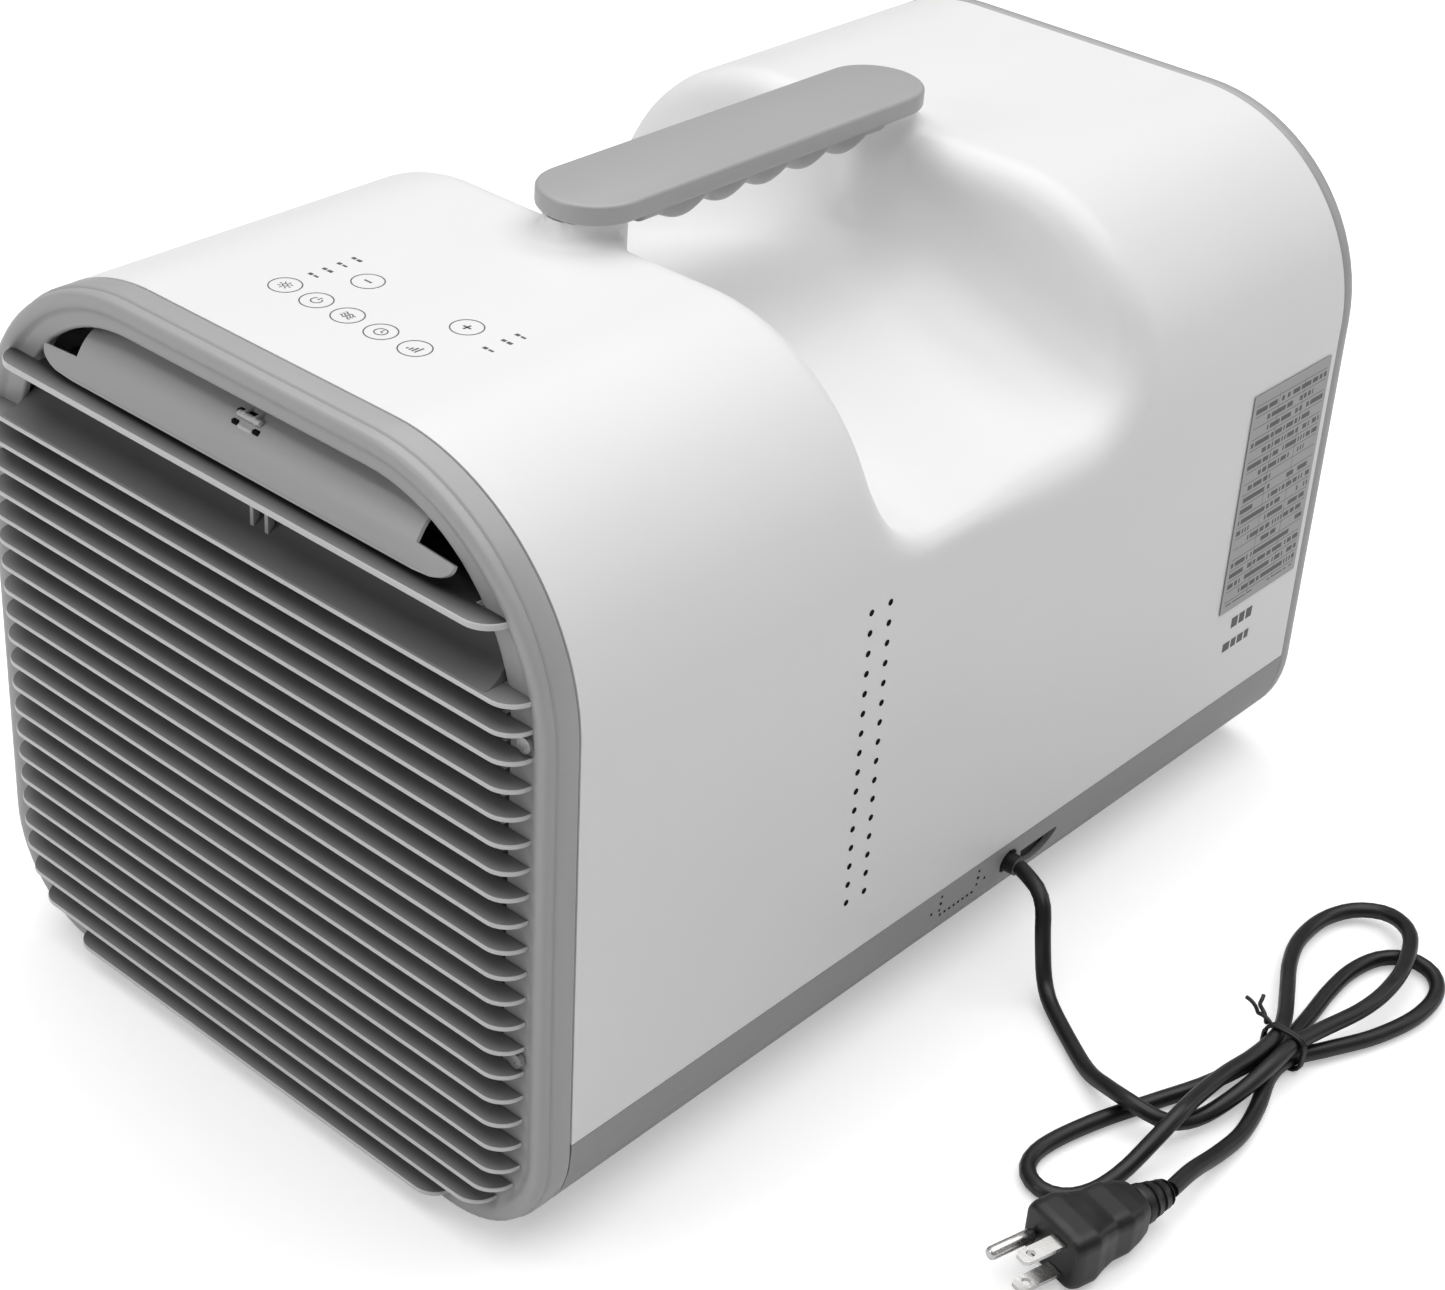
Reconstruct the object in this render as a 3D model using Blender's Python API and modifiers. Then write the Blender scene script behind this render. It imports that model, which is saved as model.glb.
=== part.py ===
"""Portable air conditioner with a louvred front, a carry handle and a mains cord.

Metres, +Z up.  The louvred front faces -Y, the cord leaves the side that faces +X, and the
origin is at the middle of the footprint, on the surface that the feet stand on.
"""
import bmesh
import bpy
import math
from mathutils import Matrix, Vector

GAP = 0.0003                     # clearance kept between pieces that touch

# Housing
TOP_HALF_WIDTH = 0.135           # half width of the housing at its top
DRAFT = 0.02                     # each side leans out by this much per metre of depth
HOUSING_TOP = 0.282
HOUSING_BOTTOM = 0.003
TOP_RADIUS = 0.078
LOW_RADIUS = 0.044
WALL = 0.0025
SHELL_FRONT = -0.2100
SHELL_REAR = 0.2233
TRAY_TOP = 0.0494

# Front frame and louvres
FRAME_FRONT = -0.2235
FRAME_STEP = -0.2213             # the bezel steps back to here inside its outer rim
RIM = 0.0045
OPENING_HALF_WIDTH = 0.118
OPENING_TOP = 0.2688
OPENING_BOTTOM = 0.0095
OPENING_TOP_RADIUS = 0.062
OPENING_LOW_RADIUS = 0.036
LOUVRE_FRONT = -0.2310
LOUVRE_HALF_WIDTH = 0.1285
LOUVRE_CORNER = 0.0087
LOUVRE_PITCH = 0.01004
LOUVRE_THICKNESS = 0.0018
LOUVRE_FIRST = 0.2209
LOUVRE_COUNT = 22
LIP_HEIGHT = 0.2430
LIP_THICKNESS = 0.0032

# Outlet vane
VANE_AXIS_Y = -0.2040
VANE_AXIS_Z = 0.2650
VANE_THICKNESS = 0.0014
VANE_HALF_WIDTH = 0.0965
VANE_NECK_HALF_WIDTH = 0.0800

# Handle and the hand scoop under it
HANDLE_Y = 0.0062
HANDLE_LENGTH = 0.189
HANDLE_WIDTH = 0.039
HANDLE_TOP = 0.2986
HANDLE_PLATE = 0.0075
GRIP_BOTTOM = 0.2800
GRIP_HALF_WIDTH = 0.0125
GRIP_FRONT = -0.0560
GRIP_REAR = 0.0760
SCOOP_Y = 0.0085
SCOOP_HALF_LENGTH = 0.0755
SCOOP_MIDDLE_FLOOR = 0.2380
SCOOP_SIDE_FLOOR = 0.2085
SCOOP_RADIUS = 0.030

# Rear
RING_REAR = 0.2313
REAR_OPENING_INSET = 0.015

# Cord
CORD_RADIUS = 0.0031
CORD_STEP = 0.0155
PLUG_FACE = Vector((0.2575, -0.1015, 0.0118))
PLUG_BACK = Vector((0.2502, 0.9682, 0.0)).normalized()
PLUG_SIDE = Vector((0.9682, -0.2502, 0.0)).normalized()
PLUG_LENGTH = 0.038
RELIEF_LENGTH = 0.014
EXIT = Vector((0.1398, 0.0295, 0.0400))
GROMMET_OUT = 0.0040

CORD_ROUTE = (
    (0.1455, 0.0286, 0.0406), (0.1510, 0.0262, 0.0408), (0.1575, 0.0240, 0.0392),
    (0.1625, 0.0212, 0.0350), (0.1655, 0.0185, 0.0275), (0.1680, 0.0172, 0.0180),
    (0.1715, 0.0150, 0.0095), (0.1785, 0.0100, 0.0048), (0.1945, -0.0005, 0.0035),
    (0.2110, -0.0112, 0.0044), (0.2240, -0.0180, 0.0090), (0.2345, -0.0212, 0.0114),
    (0.2430, -0.0205, 0.0104), (0.2500, -0.0160, 0.0080), (0.2552, -0.0030, 0.0060),
    (0.2590, 0.0160, 0.0085), (0.2604, 0.0330, 0.0114), (0.2605, 0.0484, 0.0118),
    (0.2630, 0.0640, 0.0112), (0.2675, 0.0850, 0.0108), (0.2685, 0.1030, 0.0108),
    (0.2655, 0.1220, 0.0108), (0.2570, 0.1415, 0.0100), (0.2435, 0.1510, 0.0070),
    (0.2310, 0.1465, 0.0050), (0.2245, 0.1320, 0.0045), (0.2250, 0.1130, 0.0050),
    (0.2310, 0.0955, 0.0065), (0.2410, 0.0765, 0.0090), (0.2495, 0.0600, 0.0112),
    (0.2533, 0.0484, 0.0116), (0.2532, 0.0330, 0.0113), (0.2517, 0.0150, 0.0125),
    (0.2520, -0.0040, 0.0140), (0.2530, -0.0180, 0.0147), (0.2526, -0.0330, 0.0110),
    (0.2510, -0.0470, 0.0058), (0.2484, -0.0600, 0.0038), (0.2430, -0.0698, 0.0035),
    (0.2348, -0.0732, 0.0035), (0.2266, -0.0698, 0.0035), (0.2227, -0.0612, 0.0035),
    (0.2236, -0.0480, 0.0035), (0.2290, -0.0280, 0.0035), (0.2372, -0.0060, 0.0035),
    (0.2450, 0.0140, 0.0038), (0.2503, 0.0330, 0.0046), (0.2533, 0.0484, 0.0048),
    (0.2535, 0.0620, 0.0042), (0.2515, 0.0790, 0.0035), (0.2493, 0.0960, 0.0035),
    (0.2490, 0.1130, 0.0035), (0.2530, 0.1280, 0.0035), (0.2620, 0.1360, 0.0035),
    (0.2730, 0.1340, 0.0035), (0.2800, 0.1230, 0.0035), (0.2808, 0.1050, 0.0035),
    (0.2755, 0.0840, 0.0035), (0.2670, 0.0640, 0.0043), (0.2601, 0.0484, 0.0048),
    (0.2598, 0.0350, 0.0044), (0.2655, 0.0180, 0.0035), (0.2692, 0.0010, 0.0038),
    (0.2700, -0.0160, 0.0062), (0.2701, -0.0340, 0.0100), (0.2710, -0.0490, 0.0118),
)


def collection(name: str) -> bpy.types.Collection:
    """Make a collection under the scene's own."""
    made = bpy.data.collections.new(name)
    bpy.context.scene.collection.children.link(made)
    return made


for leftover in list(bpy.data.objects):
    bpy.data.objects.remove(leftover, do_unlink=True)
PARTS = collection("portable_air_conditioner")
CUTTERS = collection("cutters")


def material(name, colour, roughness, metallic=0.0):
    """Make a plain Principled finish."""
    made = bpy.data.materials.new(name)
    made.use_nodes = True
    shader = made.node_tree.nodes["Principled BSDF"]
    shader.inputs["Base Color"].default_value = (*colour, 1.0)
    shader.inputs["Roughness"].default_value = roughness
    shader.inputs["Metallic"].default_value = metallic
    return made


WHITE = material("white_abs", (0.86, 0.86, 0.85), 0.35)
GREY = material("mid_grey_abs", (0.30, 0.30, 0.31), 0.45)
DARK = material("dark_grey_abs", (0.09, 0.09, 0.10), 0.5)
LOUVRE = material("louvre_grey_abs", (0.16, 0.16, 0.17), 0.45)
BLACK = material("black_pvc", (0.012, 0.012, 0.013), 0.5)
RUBBER = material("black_rubber", (0.02, 0.02, 0.02), 0.8)
NICKEL = material("nickel", (0.75, 0.74, 0.72), 0.25, 1.0)
STEEL = material("zinc_steel", (0.60, 0.61, 0.62), 0.35, 1.0)
COPPER = material("copper", (0.78, 0.42, 0.27), 0.3, 1.0)
ALUMINIUM = material("fin_aluminium", (0.75, 0.76, 0.78), 0.3, 1.0)
PAINT = material("black_paint", (0.03, 0.03, 0.03), 0.4)
BOARD = material("circuit_board", (0.05, 0.22, 0.10), 0.5)
LABEL = material("silver_label", (0.55, 0.56, 0.57), 0.35, 0.4)
MESH = material("filter_mesh", (0.12, 0.13, 0.14), 0.8)


def dress(obj, finish, smooth=False):
    """Give an object its finish and its shading."""
    obj.data.materials.clear()
    obj.data.materials.append(finish)
    if smooth:
        obj.data.shade_smooth()
        obj.data.set_sharp_from_angle(angle=math.radians(40))
    return obj


def place(name, data, finish, group=None, smooth=False):
    """Link a mesh as a named object."""
    obj = bpy.data.objects.new(name, data)
    (group or PARTS).objects.link(obj)
    if group is CUTTERS:
        obj.hide_render = True
        obj.display_type = "WIRE"
    return dress(obj, finish, smooth)


def baked(curve_object):
    """Turn a curve object into a welded mesh in world space and remove the curve."""
    bpy.context.view_layer.update()
    graph = bpy.context.evaluated_depsgraph_get()
    data = bpy.data.meshes.new_from_object(curve_object.evaluated_get(graph))
    data.transform(curve_object.matrix_world)
    curve = curve_object.data
    bpy.data.objects.remove(curve_object, do_unlink=True)
    bpy.data.curves.remove(curve)
    bm = bmesh.new()
    bm.from_mesh(data)
    bmesh.ops.remove_doubles(bm, verts=bm.verts, dist=1e-6)
    bmesh.ops.dissolve_degenerate(bm, edges=bm.edges, dist=1e-7)
    bmesh.ops.recalc_face_normals(bm, faces=bm.faces)
    bm.to_mesh(data)
    bm.free()
    return data


TURNS = {
    "X": Matrix(((0, 0, 1), (1, 0, 0), (0, 1, 0))).to_4x4(),
    "Y": Matrix(((1, 0, 0), (0, 0, -1), (0, 1, 0))).to_4x4(),
    "Z": Matrix.Identity(4),
}


def prism(name, outlines, low, high, axis, finish, group=None, smooth=False):
    """Extrude closed outlines along an axis, from low to high.

    An outline lists (x, z) for Y, (y, z) for X and (x, y) for Z.  The first outline is the
    outside and any others are holes.
    """
    curve = bpy.data.curves.new(name, "CURVE")
    curve.dimensions = "2D"
    curve.fill_mode = "BOTH"
    curve.extrude = (high - low) / 2
    for outline in outlines:
        spline = curve.splines.new("POLY")
        spline.points.add(len(outline) - 1)
        for point, (a, b) in zip(spline.points, outline):
            point.co = (a, b, 0, 1)
        spline.use_cyclic_u = True
    obj = bpy.data.objects.new(name, curve)
    bpy.context.scene.collection.objects.link(obj)
    middle = (low + high) / 2
    slide = {"X": (middle, 0, 0), "Y": (0, middle, 0), "Z": (0, 0, middle)}[axis]
    obj.matrix_world = Matrix.Translation(slide) @ TURNS[axis]
    return place(name, baked(obj), finish, group, smooth)


def block(name, low, high, finish, group=None):
    """Make a box between two corners."""
    bm = bmesh.new()
    bmesh.ops.create_cube(bm, size=1.0)
    size = [b - a for a, b in zip(low, high)]
    middle = [(a + b) / 2 for a, b in zip(low, high)]
    bmesh.ops.scale(bm, vec=size, verts=bm.verts)
    bmesh.ops.translate(bm, vec=middle, verts=bm.verts)
    data = bpy.data.meshes.new(name)
    bm.to_mesh(data)
    bm.free()
    return place(name, data, finish, group)


def rod(name, start, end, radius, finish, group=None, sides=24, end_radius=None):
    """Make a cylinder or a cone between two points."""
    start, end = Vector(start), Vector(end)
    run = end - start
    bm = bmesh.new()
    last = radius if end_radius is None else end_radius
    bmesh.ops.create_cone(bm, cap_ends=True, segments=sides, radius1=radius, radius2=last, depth=run.length)
    turn = Vector((0, 0, 1)).rotation_difference(run).to_matrix().to_4x4()
    bmesh.ops.transform(bm, matrix=Matrix.Translation((start + end) / 2) @ turn, verts=bm.verts)
    data = bpy.data.meshes.new(name)
    bm.to_mesh(data)
    bm.free()
    return place(name, data, finish, group, smooth=True)


def turned(name, profile, base, finish, steps=32):
    """Spin a profile of (radius, height) pairs, listed top to bottom on the outer side."""
    data = bpy.data.meshes.new(name)
    points = [(radius, 0, height) for radius, height in profile]
    data.from_pydata(points, [(i, i + 1) for i in range(len(points) - 1)], [])
    obj = place(name, data, finish)
    screw = obj.modifiers.new("turn", "SCREW")
    screw.steps = steps
    screw.render_steps = steps
    screw.use_merge_vertices = True
    screw.merge_threshold = 0.00005
    obj.location = base
    return obj


def tube(name, points, radius, finish, resolution=2, smooth=True):
    """Make a round tube through points, as a curve with filled caps."""
    curve = bpy.data.curves.new(name, "CURVE")
    curve.dimensions = "3D"
    curve.bevel_depth = radius
    curve.bevel_resolution = resolution
    curve.use_fill_caps = True
    spline = curve.splines.new("POLY")
    spline.points.add(len(points) - 1)
    for target, point in zip(spline.points, points):
        target.co = (*point, 1)
    spline.use_smooth = smooth
    obj = bpy.data.objects.new(name, curve)
    PARTS.objects.link(obj)
    obj.data.materials.append(finish)
    return obj


def cut(obj, cutter, operation="DIFFERENCE"):
    """Add a Boolean modifier."""
    boolean = obj.modifiers.new(operation.lower(), "BOOLEAN")
    boolean.operation = operation
    boolean.solver = "EXACT"
    boolean.object = cutter
    return obj


def hinge_at(obj, point):
    """Move an object's origin to a point on its joint's axis, leaving its shape in place."""
    obj.data.transform(Matrix.Translation(-Vector(point)))
    obj.location = point
    return obj


def arc(centre, radius, start, end, count):
    """Points along an arc, angles in degrees."""
    angles = [math.radians(start + (end - start) * i / count) for i in range(count + 1)]
    return [(centre[0] + radius * math.cos(a), centre[1] + radius * math.sin(a)) for a in angles]


def rounded(half_width, bottom, top, low_radius, top_radius, draft=0.0, count=8):
    """A rounded section of the housing, counter-clockwise from the lower right."""
    right = arc((half_width - low_radius, bottom + low_radius), low_radius, -90, 0, count)
    right += arc((half_width - top_radius, top - top_radius), top_radius, 0, 90, count + 2)
    right = [(x + draft * (top - z), z) for x, z in right]
    return right + [(-x, z) for x, z in reversed(right)]


def housing(inset=0.0):
    """The housing's outline, or one that lies inside it."""
    return rounded(
        TOP_HALF_WIDTH - inset, HOUSING_BOTTOM + inset, HOUSING_TOP - inset,
        LOW_RADIUS - inset, TOP_RADIUS - inset, DRAFT,
    )


def clipped(outline, height, keep_above):
    """The part of a closed outline above or below a height."""
    kept = []
    for (ax, az), (bx, bz) in zip(outline, outline[1:] + outline[:1]):
        inside_a = (az >= height) == keep_above
        inside_b = (bz >= height) == keep_above
        if inside_a:
            kept.append((ax, az))
        if inside_a != inside_b:
            t = (height - az) / (bz - az)
            kept.append((ax + t * (bx - ax), height))
    return kept


def box_outline(low_a, low_b, high_a, high_b):
    """A rectangle."""
    return [(low_a, low_b), (high_a, low_b), (high_a, high_b), (low_a, high_b)]


def stadium(half_length, half_width, middle, count=10):
    """A plan outline with round ends along Y."""
    front = arc((0, middle - half_length + half_width), half_width, 180, 360, count)
    rear = arc((0, middle + half_length - half_width), half_width, 0, 180, count)
    return front + rear


def scoop(name, grow):
    """A smooth channel from side to side whose floor falls away from the handle."""
    half = SCOOP_HALF_LENGTH + grow
    radius = SCOOP_RADIUS + grow
    bm = bmesh.new()
    sections = []
    for x in (-0.160, -0.139, -0.105, -0.07, -0.035, 0.0, 0.035, 0.07, 0.105, 0.139, 0.160):
        share = (1 - math.cos(math.pi * min(abs(x), 0.139) / 0.139)) / 2
        floor = SCOOP_MIDDLE_FLOOR + (SCOOP_SIDE_FLOOR - SCOOP_MIDDLE_FLOOR) * share - grow
        outline = arc((-half + radius, floor + radius), radius, 180, 270, 7)
        outline += arc((half - radius, floor + radius), radius, 270, 360, 7)
        outline += [(half, 0.310), (-half, 0.310)]
        ring = [bm.verts.new((x, SCOOP_Y + y, z)) for y, z in outline]
        sections.append([bm.edges.new((ring[i - 1], ring[i])) for i in range(len(ring))])
    for first, second in zip(sections, sections[1:]):
        bmesh.ops.bridge_loops(bm, edges=first + second)
    bmesh.ops.holes_fill(bm, edges=bm.edges, sides=0)
    bmesh.ops.recalc_face_normals(bm, faces=bm.faces)
    data = bpy.data.meshes.new(name)
    bm.to_mesh(data)
    bm.free()
    return place(name, data, WHITE, CUTTERS)


def make_shell():
    """White cover: an inverted U with the hand scoop, two handle seats and small air holes."""
    upper = clipped(housing(), TRAY_TOP + GAP, True)
    shell = prism("shell", [upper], SHELL_FRONT, SHELL_REAR, "Y", WHITE, smooth=True)
    cut(shell, scoop("scoop_hollow", 0.0))
    seat_top = HANDLE_TOP - HANDLE_PLATE - GAP
    seats = {"front": (-0.0875, GRIP_FRONT - GAP), "rear": (GRIP_REAR + GAP, 0.1015)}
    for side, (near, far) in seats.items():
        plan = stadium((far - near) / 2, GRIP_HALF_WIDTH, (near + far) / 2)
        cut(shell, prism(f"{side}_seat_solid", [plan], 0.2400, seat_top, "Z", WHITE, CUTTERS), "UNION")
    inner = clipped(housing(WALL), 0.040, True)
    hollow = prism("shell_hollow", [inner], SHELL_FRONT - 0.01, SHELL_REAR + 0.01, "Y", WHITE, CUTTERS)
    cut(hollow, scoop("scoop_backing", WALL))
    cut(shell, hollow)
    cut(shell, air_holes())


def air_holes():
    """Cutters for two columns of small round holes in the cord side."""
    bm = bmesh.new()
    for y in (-0.0731, -0.0631):
        for row in range(16):
            turn = Matrix.Rotation(math.radians(90), 4, "Y")
            spot = Matrix.Translation((TOP_HALF_WIDTH, y, 0.1932 - 0.0079 * row))
            bmesh.ops.create_cone(
                bm, cap_ends=True, segments=8, radius1=0.00125, radius2=0.00125,
                depth=0.02, matrix=spot @ turn,
            )
    data = bpy.data.meshes.new("air_hole_pins")
    bm.to_mesh(data)
    bm.free()
    return place("air_hole_pins", data, WHITE, CUTTERS)


def drain_outline(inset):
    """The drain opening: flat along its top and round below."""
    top = 0.0408 - inset
    depth = (0.0108 - 2 * inset) / (0.0118 - inset)
    bowl = arc((0.0492, 0.0), 0.0118 - inset, 180, 360, 12)
    return [(y, top + z * depth) for y, z in bowl]


def make_base():
    """Base tray with its feet, the drain bung and the cord's grommet."""
    outer = clipped(housing(), TRAY_TOP, False)
    inner = clipped(housing(WALL), TRAY_TOP, False)
    start = next(i for i, (x, z) in enumerate(outer) if z == TRAY_TOP and x < 0)
    outer = outer[start:] + outer[:start]
    start = next(i for i, (x, z) in enumerate(inner) if z == TRAY_TOP and x < 0)
    inner = inner[start:] + inner[:start]
    tray = prism("base_tray", [outer + inner[::-1]], SHELL_FRONT, SHELL_REAR, "Y", GREY, smooth=True)
    hole = rod("grommet_hole", (0.12, EXIT.y, EXIT.z), (0.15, EXIT.y, EXIT.z), 0.0053, GREY, CUTTERS)
    cut(tray, hole)
    drain = prism("drain_hole", [drain_outline(0.0)], 0.10, 0.16, "X", GREY, CUTTERS)
    cut(tray, drain)
    prism("drain_bung", [drain_outline(0.0004)], 0.1240, 0.1345, "X", RUBBER)
    for x in (-0.080, 0.080):
        for y in (-0.185, 0.198):
            side = "right" if x > 0 else "left"
            end = "front" if y < 0 else "rear"
            rod(f"foot_{end}_{side}", (x, y, 0.0), (x, y, HOUSING_BOTTOM - GAP), 0.010, RUBBER)


def make_front_frame():
    """Bezel ring whose face steps back inside its rim."""
    opening = rounded(
        OPENING_HALF_WIDTH, OPENING_BOTTOM, OPENING_TOP, OPENING_LOW_RADIUS, OPENING_TOP_RADIUS,
    )
    frame = prism(
        "front_frame", [housing(), opening], FRAME_FRONT, SHELL_FRONT - GAP, "Y", GREY, smooth=True,
    )
    recess = prism("bezel_recess", [housing(RIM)], FRAME_FRONT - 0.01, FRAME_STEP, "Y", GREY, CUTTERS)
    cut(frame, recess)
    wider = rounded(0.1220, OPENING_BOTTOM, 0.2745, OPENING_LOW_RADIUS, 0.0660)
    cut(frame, prism("bezel_rebate", [wider], -0.2185, -0.20, "Y", GREY, CUTTERS))


def plan_rounding(name, half_width, low, high):
    """A tall block whose plan has the louvres' rounded ends."""
    y = LOUVRE_FRONT + LOUVRE_CORNER
    plan = arc((-half_width + LOUVRE_CORNER, y), LOUVRE_CORNER, 180, 270, 6)
    plan += arc((half_width - LOUVRE_CORNER, y), LOUVRE_CORNER, 270, 360, 6)
    plan += [(half_width, -0.19), (-half_width, -0.19)]
    return prism(name, [plan], low, high, "Z", GREY, CUTTERS)


def make_grille():
    """Intake grille: blades that wrap round at their ends, on a slotted back frame."""
    top = LOUVRE_FIRST + LOUVRE_THICKNESS / 2
    bottom = LOUVRE_FIRST - LOUVRE_PITCH * (LOUVRE_COUNT - 1) - LOUVRE_THICKNESS / 2 + 0.0013
    face = rounded(LOUVRE_HALF_WIDTH, bottom, top, 0.036, 0.0005)
    grille = prism("louvre_grille", [face], LOUVRE_FRONT, FRAME_STEP - GAP, "Y", LOUVRE, smooth=True)
    cut(grille, plan_rounding("grille_ends", LOUVRE_HALF_WIDTH, 0.0, 0.25), "INTERSECT")
    back = rounded(OPENING_HALF_WIDTH - 0.0025, bottom, top, 0.0352, 0.0005)
    cut(grille, prism("grille_back", [back], FRAME_STEP - 0.001, -0.2130, "Y", LOUVRE, CUTTERS), "UNION")
    slots = bmesh.new()
    for blade in range(LOUVRE_COUNT - 1):
        low = LOUVRE_FIRST - LOUVRE_PITCH * (blade + 1) + LOUVRE_THICKNESS / 2
        high = LOUVRE_FIRST - LOUVRE_PITCH * blade - LOUVRE_THICKNESS / 2
        spot = Matrix.Translation((0, -0.22825, (low + high) / 2))
        size = Matrix.Diagonal((0.30, 0.0235, high - low, 1.0))
        bmesh.ops.create_cube(slots, size=1.0, matrix=spot @ size)
    data = bpy.data.meshes.new("grille_slots")
    slots.to_mesh(data)
    slots.free()
    cut(grille, place("grille_slots", data, LOUVRE, CUTTERS))
    for index, (low, high) in enumerate(((-0.1130, -0.0400), (-0.0370, 0.0370), (0.0400, 0.1130))):
        inset = 0.0 if index == 1 else 0.012
        window = block(
            f"grille_window_{index}", (low, -0.2180, 0.0180 + inset), (high, -0.2100, 0.2140),
            LOUVRE, CUTTERS,
        )
        cut(grille, window)


def make_lip():
    """Outlet lip: the thick top louvre and the sloping panel that joins it to the grille."""
    high = LIP_HEIGHT + LIP_THICKNESS / 2
    low = LIP_HEIGHT - LIP_THICKNESS / 2
    lip = block("outlet_lip", (-0.1180, LOUVRE_FRONT, low), (0.1180, FRAME_STEP - GAP, high), GREY)
    cut(lip, plan_rounding("lip_ends", 0.1180, low - 0.01, high + 0.01), "INTERSECT")
    panel = [
        (-0.2225, low), (-0.2225, high), (-0.2045, high), (-0.2045, low + 0.0002), (-0.2090, 0.2370),
        (-0.2160, 0.2260), (-0.2205, 0.2232), (-0.2205, 0.2252), (-0.2175, 0.2275), (-0.2112, 0.2380),
        (-0.2095, low),
    ]
    cut(lip, prism("lip_panel", [panel], -0.1040, 0.1040, "X", GREY, CUTTERS), "UNION")


def make_vane():
    """Outlet vane on its hinge rod, with a bracket at each end and a clip in the middle."""
    axis = (0.0, VANE_AXIS_Y, VANE_AXIS_Z)
    spine = [(0.0, -0.0004), (-0.0055, -0.0008), (-0.0105, -0.0026), (-0.0150, -0.0057)]
    spine += [(-0.0185, -0.0104), (-0.0208, -0.0160), (-0.0214, -0.0186)]
    top = [(VANE_AXIS_Y + y, VANE_AXIS_Z + z + VANE_THICKNESS / 2) for y, z in spine]
    low = [(y + VANE_THICKNESS * 0.45, z - VANE_THICKNESS) for y, z in top]
    low[0] = (top[0][0], top[0][1] - VANE_THICKNESS)
    vane = prism("swing_vane", [top + low[::-1]], -VANE_HALF_WIDTH, VANE_HALF_WIDTH, "X", GREY, smooth=True)
    for sign in (-1, 1):
        near, far = sorted((sign * VANE_NECK_HALF_WIDTH, sign * 0.12))
        side = "right" if sign > 0 else "left"
        notch = block(f"vane_notch_{side}", (near, -0.2232, 0.24), (far, -0.19, 0.28), GREY, CUTTERS)
        cut(vane, notch)
    reach = VANE_NECK_HALF_WIDTH + 0.0035
    pin = rod("vane_pin", (-reach, *axis[1:]), (reach, *axis[1:]), 0.0016, GREY, CUTTERS, 12)
    cut(vane, pin, "UNION")
    hinge_at(vane, axis)
    bore = arc((VANE_AXIS_Y, VANE_AXIS_Z), 0.0020, 0, 330, 11)
    for sign, side in ((-1, "left"), (1, "right")):
        near, far = sorted((sign * (VANE_NECK_HALF_WIDTH + 0.0005), sign * (VANE_NECK_HALF_WIDTH + 0.0022)))
        ear = box_outline(-0.2100, 0.2615, -0.2010, 0.2742)
        prism(f"vane_bracket_{side}", [ear, bore], near, far, "X", GREY)
    rod("vane_motor", (reach + GAP, *axis[1:]), (0.0900, *axis[1:]), 0.0055, STEEL)


def make_handle():
    """Carry handle: a flat top plate over a grip with finger grooves."""
    plan = stadium(HANDLE_LENGTH / 2, HANDLE_WIDTH / 2, HANDLE_Y, 14)
    plate = prism("handle_plate", [plan], HANDLE_TOP - HANDLE_PLATE, HANDLE_TOP, "Z", GREY)
    rounding = plate.modifiers.new("edge", "BEVEL")
    rounding.width = 0.0012
    rounding.segments = 2
    rounding.limit_method = "ANGLE"
    rounding.angle_limit = math.radians(50)
    top = HANDLE_TOP - HANDLE_PLATE - GAP
    side = [(GRIP_FRONT, top), (GRIP_FRONT, 0.2835)]
    lobe = 0.0222
    first = HANDLE_Y - 2.5 * lobe + 0.004
    for finger in range(5):
        for step in range(5):
            y = first + lobe * (finger + step / 5)
            side.append((y, 0.2838 - 0.0036 * math.sin(math.pi * step / 5)))
    side += [(first + 5 * lobe, 0.2838), (GRIP_REAR, 0.2860), (GRIP_REAR, top)]
    prism("handle_grip", [side], -GRIP_HALF_WIDTH, GRIP_HALF_WIDTH, "X", GREY)


def make_rear():
    """Rear ring, the exhaust grille inside it and the condenser behind the grille."""
    hole = housing(REAR_OPENING_INSET)
    prism("rear_ring", [housing(), hole], SHELL_REAR + GAP, RING_REAR, "Y", GREY, smooth=True)
    plate = prism("rear_grille", [housing(REAR_OPENING_INSET + GAP)], 0.2250, 0.2280, "Y", GREY)
    slots = bmesh.new()
    for row in range(15):
        for column in range(3):
            spot = Matrix.Translation(((column - 1) * 0.062, 0.2265, 0.0480 + row * 0.0135))
            size = Matrix.Diagonal((0.054, 0.02, 0.0085, 1.0))
            bmesh.ops.create_cube(slots, size=1.0, matrix=spot @ size)
    data = bpy.data.meshes.new("exhaust_slots")
    slots.to_mesh(data)
    slots.free()
    cut(plate, place("exhaust_slots", data, GREY, CUTTERS))


def make_label():
    """Rating plate on the cord side, near the rear."""
    low, high = 0.0945, 0.1925
    lean = DRAFT
    x_low = TOP_HALF_WIDTH + lean * (HOUSING_TOP - low) + GAP
    x_high = TOP_HALF_WIDTH + lean * (HOUSING_TOP - high) + GAP
    plate = [(x_low, low), (x_low + 0.0003, low), (x_high + 0.0003, high), (x_high, high)]
    prism("rating_plate", [plate], 0.1622, 0.2190, "Y", LABEL)


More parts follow.
